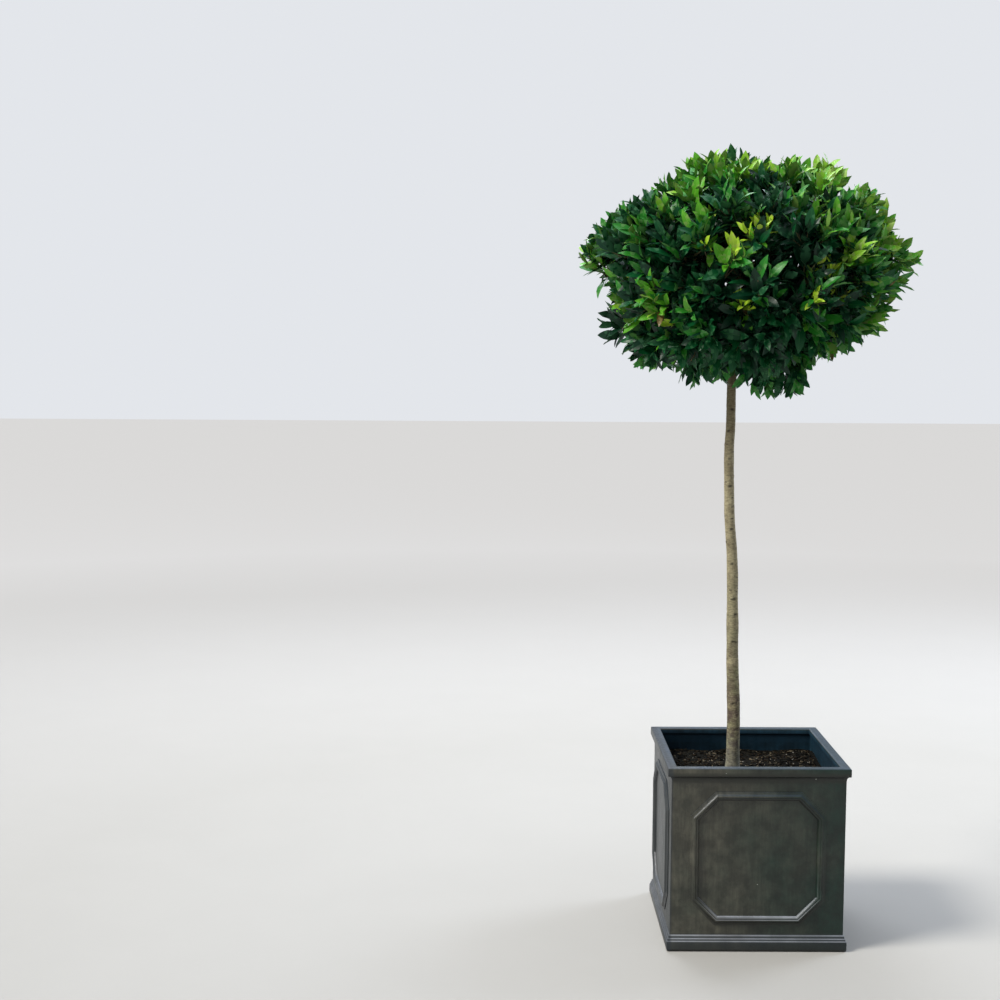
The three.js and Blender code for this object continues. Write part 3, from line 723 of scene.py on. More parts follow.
# %% A mesh from arrays, for what repeats by the hundred
def mesh_from_arrays(name, points, triangles, materials, slots=None):
    """One piece from an array of points and an array of triangles, with a material slot for each face."""
    mesh = bpy.data.meshes.new(name)
    mesh.vertices.add(len(points))
    mesh.vertices.foreach_set("co", np.ascontiguousarray(points, np.float32).ravel())
    mesh.loops.add(triangles.size)
    mesh.loops.foreach_set("vertex_index", np.ascontiguousarray(triangles, np.int32).ravel())
    mesh.polygons.add(len(triangles))
    mesh.polygons.foreach_set("loop_start", np.arange(0, triangles.size, 3, dtype=np.int32))
    for material in materials:
        mesh.materials.append(material)
    if slots is not None:
        mesh.polygons.foreach_set("material_index", np.ascontiguousarray(slots, np.int32))
    mesh.update(calc_edges=True)
    piece = bpy.data.objects.new(name, mesh)
    bpy.context.scene.collection.objects.link(piece)
    return piece


def join_shapes(shapes):
    """Many (points, triangles) shapes as one pair of arrays."""
    counts = np.cumsum([0] + [len(points) for points, _ in shapes])
    points = np.concatenate([points for points, _ in shapes])
    triangles = np.concatenate([faces + start for (_, faces), start in zip(shapes, counts)])
    return points, triangles


# %% Bark bits and pale flecks on the compost
BIT_COUNT, FLECK_COUNT = 2300, 90
BIT_LENGTHS, FLECK_LENGTHS = (0.004, 0.013), (0.002, 0.0045)
BIT_WIDTHS = 0.12, 0.38                          # shares of the length
CLEAR_OF_WALL, CLEAR_OF_TRUNK, BIT_LIFT = 0.012, 0.03, 0.001
BOX_CORNERS = np.array([(x, y, z) for z in (-1, 1) for y in (-1, 1) for x in (-1, 1)], float)
BOX_TRIANGLES = np.array([
    (0, 2, 3), (0, 3, 1), (4, 5, 7), (4, 7, 6), (0, 1, 5), (0, 5, 4),
    (2, 6, 7), (2, 7, 3), (0, 4, 6), (0, 6, 2), (1, 3, 7), (1, 7, 5),
])
bits_dealer = np.random.default_rng(11)


def uneven_bit(size, flatness, tilt):
    """An uneven wedge of a size, lying at random on the compost."""
    deal = bits_dealer
    corners = BOX_CORNERS * (1 + deal.uniform(-0.45, 0.25, BOX_CORNERS.shape))
    corners *= 0.5 * size * np.array([1, deal.uniform(*BIT_WIDTHS), flatness])
    turn, lean = deal.uniform(0, 2 * math.pi), deal.uniform(-tilt, tilt)
    spin = np.array([[math.cos(turn), -math.sin(turn), 0], [math.sin(turn), math.cos(turn), 0], [0, 0, 1]])
    rise = np.array([[math.cos(lean), 0, -math.sin(lean)], [0, 1, 0], [math.sin(lean), 0, math.cos(lean)]])
    while True:
        x, y = deal.uniform(CLEAR_OF_WALL - SOIL_HALF, SOIL_HALF - CLEAR_OF_WALL, 2)
        if math.hypot(x - TRUNK_FOOT[0], y - TRUNK_FOOT[1]) > CLEAR_OF_TRUNK:
            break
    place = np.array([x, y, soil_height(x, y) + BIT_LIFT])
    return corners @ rise.T @ spin.T + place, BOX_TRIANGLES


shortest, longest = BIT_LENGTHS
bits = [uneven_bit(shortest + (longest - shortest) * bits_dealer.random() ** 2, 0.3, 0.4)
        for _ in range(BIT_COUNT)]
flecks = [uneven_bit(bits_dealer.uniform(*FLECK_LENGTHS), 0.7, 0.5) for _ in range(FLECK_COUNT)]
BIT_TINTS = {"dark": "#0e0d0b", "brown": "#2a2219", "grey": "#37342c", "pale": "#655c4c",
             "white": "#96928a"}
BIT_SHARES = [0.42, 0.30, 0.20, 0.08]            # of the bits; all flecks are white
bit_finishes = [
    new_material(f"{tint} bark bit", 0.9, code, COMPOST_SHINE)[0] for tint, code in BIT_TINTS.items()
]
bit_points, bit_triangles = join_shapes(bits + flecks)
bit_slots = np.concatenate([
    np.repeat(bits_dealer.choice(len(BIT_SHARES), BIT_COUNT, p=BIT_SHARES), len(BOX_TRIANGLES)),
    np.full(FLECK_COUNT * len(BOX_TRIANGLES), len(BIT_SHARES)),
])
bark_bits = mesh_from_arrays("bark_bits", bit_points, bit_triangles, bit_finishes, bit_slots)
settle(bark_bits, "compost")

# %% [markdown]
# ## Lines of trunk and boughs
# Trunk, boughs and twigs follow the source's lines: smooth curves through a few named points. `smooth_line`
# is the same kind of curve as in the source, centripetal Catmull-Rom, walked in even steps. `tube` gives a
# line its thickness.

# %% Curves
STEPS_BETWEEN_KNOTS = 20


def unit(vector):
    return vector / np.linalg.norm(vector)


def smooth_line(knots, steps):
    """Even steps along a centripetal Catmull-Rom curve through the knots."""
    knots = np.asarray(knots, float)
    path = np.vstack([2 * knots[0] - knots[1], knots, 2 * knots[-1] - knots[-2]])
    share = np.linspace(0, 1, STEPS_BETWEEN_KNOTS, endpoint=False)[:, None]
    stretches = []
    for before, start, end, after in zip(path, path[1:], path[2:], path[3:]):
        first, middle, last = (math.sqrt(np.linalg.norm(b - a))
                               for a, b in ((before, start), (start, end), (end, after)))
        leaving = (start - before) / first - (end - before) / (first + middle) + (end - start) / middle
        arriving = (end - start) / middle - (after - start) / (middle + last) + (after - end) / last
        leaving, arriving = leaving * middle, arriving * middle
        stretches.append(
            start + leaving * share
            + (3 * (end - start) - 2 * leaving - arriving) * share ** 2
            + (2 * (start - end) + leaving + arriving) * share ** 3
        )
    fine = np.vstack([*stretches, knots[-1:]])
    run = np.concatenate([[0], np.cumsum(np.linalg.norm(np.diff(fine, axis=0), axis=1))])
    even = np.linspace(0, run[-1], steps + 1)
    return np.stack([np.interp(even, run, fine[:, axis]) for axis in range(3)], axis=1)


def line_length(line):
    return np.linalg.norm(np.diff(line, axis=0), axis=1).sum()


# %% Tubes
def tube(line, radii, sides):
    """Points and triangles of a closed tube round a line."""
    along = np.gradient(line, axis=0)
    along /= np.linalg.norm(along, axis=1, keepdims=True)
    middle = unit(line[-1] - line[0])
    helper = np.array([1.0, 0, 0]) if abs(middle[2]) > 0.9 else UP
    reference = unit(np.cross(helper, middle))
    across = reference - along * (along @ reference)[:, None]
    across /= np.linalg.norm(across, axis=1, keepdims=True)
    beside = np.cross(along, across)
    angles = np.arange(sides) / sides * 2 * math.pi
    ring = np.cos(angles)[:, None] * across[:, None] + np.sin(angles)[:, None] * beside[:, None]
    points = (line[:, None] + np.asarray(radii)[:, None, None] * ring).reshape(-1, 3)
    corner = np.arange((len(line) - 1) * sides)
    following = np.where(corner % sides == sides - 1, corner + 1 - sides, corner + 1)
    walls = np.concatenate([
        np.stack([corner, following, following + sides], axis=1),
        np.stack([corner, following + sides, corner + sides], axis=1),
    ])
    fan = np.arange(1, sides - 1)
    last = (len(line) - 1) * sides
    bottom = np.stack([0 * fan, fan + 1, fan], axis=1)
    top = np.stack([last + 0 * fan, last + fan, last + fan + 1], axis=1)
    return points, np.concatenate([walls, bottom, top])


# %% The trunk's line
TRUNK_LENGTH, TRUNK_STEPS = 1.110, 222
TRUNK_FOOT_RADIUS, TRUNK_TOP_RADIUS = 0.0172, 0.0106
TRUNK_FLARE, TRUNK_FLARE_HEIGHT = 0.0035, 0.018
TRUNK_LINE = 0.001 * np.array([
    [0, 0, 0], [-1, 1, 170], [-5, 3, 262], [-8, 5, 445], [-11, 5, 550], [-19.5, 3, 650],
    [-22, 1, 720], [-24.5, -2, 835], [-22, -3, 890], [-21, -2, 990], [-12, 0, 1110],
])
trunk_line = smooth_line(TRUNK_LINE, TRUNK_STEPS) + TRUNK_FOOT


def trunk_radius(height):
    """The source's taper and flare, at a height above the foot."""
    even = TRUNK_FOOT_RADIUS + (TRUNK_TOP_RADIUS - TRUNK_FOOT_RADIUS) * height / TRUNK_LENGTH
    return even + TRUNK_FLARE * math.exp(-height / TRUNK_FLARE_HEIGHT)


def trunk_point(height):
    """The point of the trunk's line at a height above its foot."""
    level = TRUNK_FOOT[2] + height
    return np.array([np.interp(level, trunk_line[:, 2], trunk_line[:, axis]) for axis in range(3)])


print("trunk line:", round(line_length(trunk_line), 3), "m")

# %% [markdown]
# ## Trunk
# The trunk of a young standard bay is bare, grey-brown and almost smooth, with small dark scars where side
# shoots were cut off. It is raised from a disc, ring by ring along its line, as a wax model would be drawn
# out. Its relief is in the mesh: low lumps, a fine grain, and a dent with a lip at each scar. The scars
# also write an attribute, which the bark's material reads to darken them.

# %% The trunk, ring by ring
TRUNK_SIDES, TRUNK_SUNK = 44, 0.006

first_ring = trunk_line[0] - TRUNK_SUNK * UP
deselect_everything()
bpy.ops.mesh.primitive_circle_add(vertices=TRUNK_SIDES, radius=trunk_radius(0), fill_type="NGON",
                                  location=tuple(first_ring))
trunk = name_piece("trunk_bark")
start_editing(trunk)
bpy.ops.mesh.select_all(action="SELECT")
place, radius = first_ring, trunk_radius(0)
for step in trunk_line:
    next_radius = trunk_radius(step[2] - TRUNK_FOOT[2])
    bpy.ops.mesh.extrude_region_move(TRANSFORM_OT_translate={"value": tuple(step - place)})
    grow = next_radius / radius
    bpy.ops.transform.resize(value=(grow, grow, 1), center_override=tuple(step))
    place, radius = step, next_radius
bpy.ops.mesh.select_all(action="SELECT")
bpy.ops.mesh.normals_make_consistent(inside=False)
stop_editing()
place_in_mesh(trunk)
print("trunk:", len(trunk.data.vertices), "points")

# %% The bark's relief
# Lumps in the bark: how high, and how many in a metre across the trunk and along it.
LUMPS, LUMPS_ACROSS, LUMPS_ALONG = 0.0011, 40, 16
FINE_LUMPS, FINE_ACROSS, FINE_ALONG = 0.0004, 170, 260
FINE_LAYERS = 0.8, 2.0, 3                         # how fast they fade, how much finer each is, how many
SCAR_DEPTH, LIP_HEIGHT, LIP_AT, LIP_WIDTH = 0.0013, 0.0011, 1.3, 0.3
SCAR_REACH = 3                                    # half-heights past which a scar does nothing
ON_THE_AXIS = 1e-4


def add_bark_relief(piece, scars):
    """Moves each point in or out from the trunk's line: lumps, grain, and scars with a raised lip."""
    marks = piece.data.attributes.new("scar", "FLOAT", "POINT")
    for vertex, mark in zip(piece.data.vertices, marks.data):
        axis = trunk_point(vertex.co.z - TRUNK_FOOT[2])
        outwards = Vector((vertex.co.x - axis[0], vertex.co.y - axis[1], 0))
        radius = outwards.length
        if radius < ON_THE_AXIS:
            continue
        outwards /= radius
        spot = vertex.co
        push = LUMPS * noise.noise(spot * Vector((LUMPS_ACROSS, LUMPS_ACROSS, LUMPS_ALONG)))
        fine_spot = spot * Vector((FINE_ACROSS, FINE_ACROSS, FINE_ALONG))
        push += FINE_LUMPS * noise.fractal(fine_spot, *FINE_LAYERS)
        angle = math.atan2(outwards.y, outwards.x)
        depth = 0
        for height, degrees, half_width, half_height in scars:
            rise = (spot.z - TRUNK_FOOT[2] - height) / half_height
            if abs(rise) > SCAR_REACH:
                continue
            around = (angle - math.radians(degrees) + math.pi) % (2 * math.pi) - math.pi
            far = math.hypot(rise, around * radius / half_width)
            dent = math.exp(-(far ** 4))
            depth = max(depth, dent)
            push += LIP_HEIGHT * math.exp(-((far - LIP_AT) ** 2) / LIP_WIDTH) - SCAR_DEPTH * dent
        mark.value = depth
        vertex.co = Vector((axis[0], axis[1], spot.z)) + outwards * (radius + push)


# %% The scars
# Height above the foot, angle round the trunk (-90 degrees is the front), half-width and half-height.
SCARS = [
    (0.335, -88, 0.0055, 0.0022), (0.405, -66, 0.0045, 0.0022), (0.398, -118, 0.004, 0.0020),
    (0.445, -80, 0.005, 0.0018), (0.535, -100, 0.004, 0.0024), (0.625, -82, 0.0042, 0.0022),
    (0.668, -62, 0.0042, 0.0022), (0.735, -86, 0.005, 0.0022), (0.803, -92, 0.0045, 0.0024),
    (0.848, -60, 0.004, 0.0020), (0.875, -122, 0.004, 0.0018), (0.930, -84, 0.0048, 0.0022),
    (0.128, -84, 0.006, 0.0020), (0.108, -118, 0.004, 0.0025), (0.176, -100, 0.004, 0.0018),
    (0.220, 12, 0.005, 0.0024), (0.300, 95, 0.005, 0.0022), (0.410, 170, 0.005, 0.0024),
    (0.520, 60, 0.0045, 0.0022), (0.590, -170, 0.005, 0.0024), (0.690, 110, 0.005, 0.0022),
    (0.760, 20, 0.0045, 0.0022), (0.840, 150, 0.0045, 0.0022), (0.900, 50, 0.004, 0.0020),
]

add_bark_relief(trunk, SCARS)
smooth_by_angle(trunk, 60)
print("scars:", len(SCARS))

# %% The bark finish
# Where each effect starts and where it is full, as heights in metres, and then its share.
# The top of the trunk is painted darker where the crown shades it: painted shade.
GREEN_FILM, PURPLE_PATCHES, GREY_FOOT, PAINTED_CROWN_SHADE = (
    (1.0, 0.6, 0.6), (0.85, 0.55, 0.85), (0.52, 0.42, 0.55), (1.10, 1.42, 0.68),
)
FOOT_TONE, PAINTED_SHADE_TONE, PORE_TONE, SCAR_TONE = "#8f948d", "#4a3b1d", "#4a4033", "#1d150f"


def bark_finish(name, pale, tan, green, purple):
    """Olive-tan bark: soft clouds, green film and purple patches low down, a grey foot, cross marks,
    painted shade under the crown, and dark scars."""
    material, tree, shader = new_material(name, 0.82, pale)
    here = object_coordinates(tree)
    crossed = object_coordinates(tree, (0.35, 0.35, 1.0))
    clouds = place_group(tree, cloudy_tone, here, Scale=34.0, Contrast=2.6,
                         First=colour(pale), Second=colour(tan))
    film = place_group(tree, cloudy_tone, here, Scale=24.0, Contrast=4.0)
    patches = place_group(tree, cloudy_tone, here, Scale=62.0, Contrast=6.0)
    lines = place_group(tree, cloudy_tone, crossed, Scale=340.0, Contrast=3.4,
                        First=colour("#857d70"), Second=colour("#ffffff"))
    pores = place_group(tree, specks, crossed, Scale=170.0, Size=0.26, Share=0.22)
    bumps = place_group(tree, relief, here, Scale=420.0, Depth=0.0012)
    scar = add_node(tree, "ShaderNodeAttribute", attribute_name="scar")
    axes = tree.nodes.new("ShaderNodeSeparateXYZ")
    link(here, axes.inputs[0])

    def by_height(start, end, share):
        return ramp(tree, axes.outputs["Z"], start, end, high=share)

    green_share = calculate(tree, "MULTIPLY", by_height(*GREEN_FILM), film.outputs["Mask"])
    purple_share = calculate(tree, "MULTIPLY", by_height(*PURPLE_PATCHES), patches.outputs["Mask"])
    tone = mix_colour(tree, green_share, clouds.outputs["Color"], colour(green))
    tone = mix_colour(tree, purple_share, tone, colour(purple))
    tone = mix_colour(tree, by_height(*GREY_FOOT), tone, colour(FOOT_TONE))
    tone = mix_colour(tree, 0.7, tone, lines.outputs["Color"], "MULTIPLY")
    tone = mix_colour(tree, by_height(*PAINTED_CROWN_SHADE), tone, colour(PAINTED_SHADE_TONE))
    tone = mix_colour(tree, pores.outputs["Mask"], tone, colour(PORE_TONE))
    tone = mix_colour(tree, scar.outputs["Fac"], tone, colour(SCAR_TONE))
    link(tone, shader.inputs["Base Color"])
    link(bumps.outputs["Normal"], shader.inputs["Normal"])
    return material


bark = bark_finish("bay bark", "#b5ad8c", "#8f8568", "#858b63", "#594842")
tell_nodes(bark.name, bark.node_tree)
give_material(trunk, bark)
settle(trunk, "bark", "trunk")

# %% [markdown]
# ## The crown's outline
# The crown is clipped to a ball that is wider than it is tall, and fuller below. A pressed sphere would
# be the plain way, but in the photograph the left and the right side differ. So the source's rule gives
# the front and the back, and goes over into an outline of its own on either side. Branches, shoots and
# leaves all end by it.

# %% The crown's outline
CROWN_CENTRE = np.array([-0.002, 0.0, 1.701])
CROWN_RADIUS, CROWN_TOP, CROWN_UNDER = 0.402, 0.256, 0.285
UNDER_SHAPE, UNDER_LEAN = 2.4, 0.22
# The outline on either side: elevations in degrees, and how far the leaves reach there in metres.
RIGHT_OUTLINE = ([-90, -70, -57, -43, -33, -27, -23, -15, -8, -1, 6, 18, 30, 38, 47, 62, 90],
                 [0.263, 0.280, 0.285, 0.325, 0.330, 0.350, 0.348, 0.336, 0.352, 0.362, 0.350,
                  0.345, 0.346, 0.290, 0.335, 0.302, 0.284])
LEFT_OUTLINE = ([-90, -64, -56, -45, -37, -25, -17, -11, -6, 4, 9, 19, 25, 34, 45, 63, 90],
                [0.263, 0.295, 0.306, 0.364, 0.418, 0.434, 0.400, 0.400, 0.425, 0.432, 0.430, 0.381,
                 0.367, 0.316, 0.308, 0.300, 0.284])
LEAF_MARGIN, TINY = 0.006, 1e-6


def direction_at(elevation, azimuth):
    level = math.cos(elevation)
    return np.array([level * math.cos(azimuth), level * math.sin(azimuth), math.sin(elevation)])


def plain_reach(directions):
    """How far the crown reaches from its centre in each direction: the source's outline."""
    level = np.hypot(directions[:, 0], directions[:, 1]) / CROWN_RADIUS
    height = directions[:, 2]
    over = 1 / np.hypot(level, height / CROWN_TOP)
    under = (level ** UNDER_SHAPE + (np.abs(height) / CROWN_UNDER) ** UNDER_SHAPE) ** (-1 / UNDER_SHAPE)
    return np.where(height >= 0, over, under * (1 + UNDER_LEAN * directions[:, 0] * height))


def crown_reach(directions):
    """The source's outline, drawn on either side to the photo's."""
    directions = np.atleast_2d(directions)
    across, level = directions[:, 0], np.hypot(directions[:, 0], directions[:, 1])
    elevations = np.degrees(np.arctan2(directions[:, 2], level))
    drawn = np.where(across > 0, np.interp(elevations, *RIGHT_OUTLINE), np.interp(elevations, *LEFT_OUTLINE))
    sideways = (across / np.maximum(level, TINY)) ** 2
    return plain_reach(directions) * (1 - sideways) + (drawn - LEAF_MARGIN) * sideways


print("crown: drawn through", len(LEFT_OUTLINE[0]), "points on either side")

# %% [markdown]
# ## Boughs
# Six boughs leave the top of the trunk and turn outwards under the foliage, and the leader goes on up.
# They follow the source's lines, and each goes on past its tip as the stem of its foliage. A collar swells
# where a bough leaves the trunk. They are tubes along those lines, since no cut end shows, and a Displace
# modifier gives them low lumps. Their bark is the trunk's.

# %% The lines of the boughs
SIDE_NAMES = ["front", "front_right", "back_right", "back", "back_left", "front_left"]
SECTOR = 2 * math.pi / len(SIDE_NAMES)
FRONT = -math.pi / 2
BOUGH_LOWEST, BOUGH_RISES = 1.028, [0, 0.026, 0.002, 0.028, 0.004, 0.042]
BOUGH_BASE_RADIUS, STEM_END_RADIUS = 0.0074, 0.0044
BOUGH_TIP_OUT, BOUGH_TIP_HEIGHTS = 0.165, [-0.088, -0.052, -0.062, -0.066, -0.092, -0.080]
BOUGH_BEND_OUT, BOUGH_BEND_UP = 0.3, 0.45
STEM_OUT, STEM_RISE, STEM_TOP = 0.262, 0.066, 0.120
LEADER_TIP, LEADER_BEND = np.array([-0.008, 0.004, 0.062]), np.array([-0.006, 0, 0])
BOUGH_STEPS, LEADER_STEPS = 40, 60


def side_line(index):
    """A side bough from the trunk to its tip, and on as the stem of its foliage."""
    angle = FRONT + index * SECTOR
    out = np.array([math.cos(angle), math.sin(angle), 0])
    start = trunk_point(BOUGH_LOWEST + BOUGH_RISES[index])
    tip = CROWN_CENTRE + BOUGH_TIP_OUT * out + BOUGH_TIP_HEIGHTS[index] * UP
    end = CROWN_CENTRE + STEM_OUT * out + (BOUGH_TIP_HEIGHTS[index] + STEM_RISE) * UP
    bend = start + (tip - start) * np.array([BOUGH_BEND_OUT, BOUGH_BEND_OUT, BOUGH_BEND_UP])
    return smooth_line([start, bend, tip, end], BOUGH_STEPS)


def leader_line():
    start = trunk_line[-1]
    tip = CROWN_CENTRE + LEADER_TIP
    end = CROWN_CENTRE + STEM_TOP * UP
    bend = (start + tip) / 2 + LEADER_BEND
    return smooth_line([start, bend, tip, end], LEADER_STEPS)


side_lines = [side_line(index) for index in range(len(SIDE_NAMES))]
top_line = leader_line()
print("boughs:", [round(line_length(line), 3) for line in [*side_lines, top_line]], "m")

# %% The boughs
COLLAR_SWELL, COLLAR_LENGTH = 0.6, 0.014
BOUGH_LUMP_SIZE, BOUGH_LUMP_HEIGHT = 0.02, 0.0022
BOUGH_SIDES = 14


def bough_radii(line, base_radius):
    """Taper from the base to the stem's end, with a collar at the base if it leaves the trunk."""
    share = np.linspace(0, 1, len(line))
    even = base_radius + (STEM_END_RADIUS - base_radius) * share
    distance = share * line_length(line)
    collar = COLLAR_SWELL if base_radius < TRUNK_TOP_RADIUS else 0
    return even * (1 + collar * np.exp(-np.maximum(distance - TRUNK_TOP_RADIUS, 0) / COLLAR_LENGTH))


bough_shapes = [tube(line, bough_radii(line, BOUGH_BASE_RADIUS), BOUGH_SIDES) for line in side_lines]
bough_shapes.append(tube(top_line, bough_radii(top_line, TRUNK_TOP_RADIUS), BOUGH_SIDES))
boughs = mesh_from_arrays("boughs", *join_shapes(bough_shapes), [bark])
lumps = bpy.data.textures.new("bough lumps", "CLOUDS")
lumps.noise_scale = BOUGH_LUMP_SIZE
apply_modifier(boughs, "DISPLACE", texture=lumps, texture_coords="LOCAL", strength=BOUGH_LUMP_HEIGHT,
               mid_level=0.5)
smooth_by_angle(boughs, 60)
settle(boughs, "bark", *[f"bough_{name}" for name in [*SIDE_NAMES, "leader"]])

# %% [markdown]
# ## Twigs and shoots
# The source grows a few twigs from the end of each stem, in rows by elevation. Here the same rule gives the
# branches, which stop earlier, and finer sprays go on from them. Their tips are spread evenly over the
# crown's outline by the golden angle, as seeds in a sunflower, and each spray starts from the branch that is
# nearest and turns up towards the light, or hangs on the underside. A spray is one shoot with a few more
# around it, so that the foliage stands in clumps with dark hollows between them. Shorter shoots fill the
# inside.

# %% The branches
SIDE_ROWS = [(41, 2), (23, 3), (4, 3), (-15, 3), (-35, 3), (-56, 3)]
CAP_ROWS = [(86, 1), (72, 4), (58, 7)]
BRANCH_TIP_DEPTH, BRANCH_STRAIGHT = 0.095, 0.045
BRANCH_STEPS = 14
UPLIFTS = [-75, -50, -20, 0, 25], [-0.6, 0.05, 0.40, 0.65, 0.75]       # by elevation in degrees
JITTER = math.radians(5)
CROWN_SEED = 12                      # chosen among eight crowns of the same rule
dealer = random.Random(CROWN_SEED)


def heading_from(out, elevation):
    """Outwards, and up towards the light, or down where it hangs."""
    return unit(out + np.interp(math.degrees(elevation), *UPLIFTS) * UP)


def branch_line(stem_end, elevation, azimuth):
    across, up = dealer.uniform(-JITTER, JITTER), dealer.uniform(-JITTER, JITTER)
    out = direction_at(elevation + up, azimuth + across)
    tip = CROWN_CENTRE + out * (crown_reach(out)[0] - BRANCH_TIP_DEPTH)
    bend = tip - heading_from(out, elevation) * BRANCH_STRAIGHT
    return smooth_line([stem_end, bend, tip], BRANCH_STEPS)


def mass_branches(name, angle, stem_end):
    """The branches of one mass, each a line."""
    lines = []
    rows, spread = (CAP_ROWS, 2 * math.pi) if name == "top" else (SIDE_ROWS, SECTOR)
    for row, (degrees, count) in enumerate(rows):
        for i in range(count):
            place = i / count + row / 3 if name == "top" else (i + 0.5) / count - 0.5
            lines.append(branch_line(stem_end, math.radians(degrees), angle + place * spread))
    return lines


MASSES = [*SIDE_NAMES, "top"]
branches = {
    name: mass_branches(name, FRONT + index * SECTOR, (side_lines + [top_line])[index][-1])
    for index, name in enumerate(MASSES)
}
print("branches:", {name: len(lines) for name, lines in branches.items()})

# %% Even directions over the crown
ELEVATION_SPREAD, AZIMUTH_SPREAD = 0.05, 0.07
CAP_ANGLE, PROFILE_STEPS = math.radians(42), 720


def even_elevations(count):
    """Elevations that share the outline's area evenly, from the top to the underside."""
    edges = np.radians(np.linspace(90, -90, PROFILE_STEPS + 1))
    profile = np.array([direction_at(angle, 0) for angle in edges])
    profile = profile * plain_reach(profile)[:, None]
    stretch = np.linalg.norm(np.diff(profile, axis=0), axis=1)
    area = np.cumsum(stretch * (profile[1:, 0] + profile[:-1, 0]))
    return np.interp((np.arange(count) + 0.5) / count * area[-1], area, edges[1:])


def even_directions(count):
    """Directions spread evenly over the outline, with a little disorder."""
    return [
        direction_at(elevation + dealer.gauss(0, ELEVATION_SPREAD),
                     number * GOLDEN_ANGLE + dealer.gauss(0, AZIMUTH_SPREAD))
        for number, elevation in enumerate(even_elevations(count))
    ]


def mass_at(out):
    """Which mass a direction belongs to: the sector, or the top within its pyramid."""
    index = round((math.atan2(out[1], out[0]) - FRONT) / SECTOR) % len(SIDE_NAMES)
    middle = FRONT + index * SECTOR
    inwards = math.cos(middle) * out[0] + math.sin(middle) * out[1]
    over = out[2] * math.sin(CAP_ANGLE) - inwards * math.cos(CAP_ANGLE)
    return "top" if over > 0 else SIDE_NAMES[index]


# %% Shoots and sprays
SHOOT_STRAIGHT, SHOOT_BACK = 0.040, 0.085
SHOOT_STEPS, SHOOT_WANDER = 6, 0.16
SIDE_SHOOTS, SIDE_OUT, SIDE_LOWER, SIDE_TILT = 3, 0.025, 0.018, math.radians(26)
SIDE_OUT_SPREAD, SIDE_TURN_SPREAD = (0.75, 1.2), 0.3

branch_points = {
    name: np.concatenate([line[BRANCH_STEPS // 3:] for line in lines]) for name, lines in branches.items()
}
shoots = []


def grow_shoot(kind, tip, heading, lift=0.0, loose=False):
    """A shoot from the nearest branch of its mass to the tip, with its last part straight. `lift` is its
    step up or down the ladder of tints, and a loose one may hang out of the outline."""
    out = unit(tip - CROWN_CENTRE)
    mass = mass_at(out)
    nearest = np.linalg.norm(branch_points[mass] - (tip - heading * SHOOT_BACK), axis=1).argmin()
    line = smooth_line([branch_points[mass][nearest], tip - heading * SHOOT_STRAIGHT, tip], SHOOT_STEPS)
    shoots.append({"kind": kind, "mass": mass, "out": out, "elevation": math.asin(out[2]), "lift": lift,
                   "loose": loose, "heading": heading, "line": line, "length": line_length(line)})


def swayed_heading(out):
    sway = np.array([dealer.gauss(0, SHOOT_WANDER) for _ in range(3)])
    return unit(heading_from(out, math.asin(out[2])) + sway)


def grow_spray(tip, heading, lift, loose=False):
    """The middle shoot and the side shoots that lean away from it, a little lower."""
    grow_shoot("middle", tip, heading, lift, loose)
    across = unit(np.cross(heading, unit(np.array([dealer.gauss(0, 1) for _ in range(3)]))))
    beside = np.cross(heading, across)
    for side in range(SIDE_SHOOTS):
        turn = 2 * math.pi * side / SIDE_SHOOTS + dealer.gauss(0, SIDE_TURN_SPREAD)
        aside = math.cos(turn) * across + math.sin(turn) * beside
        side_tip = tip + SIDE_OUT * dealer.uniform(*SIDE_OUT_SPREAD) * aside - SIDE_LOWER * heading
        grow_shoot("side", side_tip, unit(heading + math.tan(SIDE_TILT) * aside), lift, loose)


# %% The crown's shoots
SPRAY_COUNT, INNER_COUNT = 262, 300
SPRAY_DEPTH, DEPTH_SPREAD = 0.044, 0.038        # from the outline in to the middle shoot's tip
INNER_DEPTH, INNER_SPREAD = 0.105, 0.020
# Sprays that stand out of the crown are stepped brighter and those sunk in darker: painted light and shade.
# The spread is the sprays' own variety, and loose sprays stand a fifth of a step brighter.
PROUD_PAINTED_LIGHT, LIFT_SPREAD, LOOSE_LIFT = 0.7, 0.9, 0.2      # steps of the ladder of tints, see the leaves
LOOSE_SPRAYS = [
    # tip and heading: those that hang low beside the trunk, and those that stand out on the right
    ((-0.152, -0.04, 1.424), (-0.2, -0.2, -1.0)), ((-0.092, -0.06, 1.440), (-0.1, -0.2, -1.0)),
    ((-0.006, -0.06, 1.408), (0, -0.2, -1.0)), ((0.036, -0.03, 1.408), (0, -0.2, -1.0)),
    ((0.086, -0.05, 1.400), (0.1, -0.2, -1.0)), ((0.108, -0.04, 1.452), (0.3, -0.2, -1.0)),
    ((0.368, -0.06, 1.706), (1.0, -0.1, 0.05)), ((0.325, -0.09, 1.650), (1.0, -0.2, 0.0)),
    ((0.296, -0.08, 1.585), (1.0, -0.2, -0.1)), ((0.272, -0.04, 1.550), (1.0, -0.1, -0.15)),
]

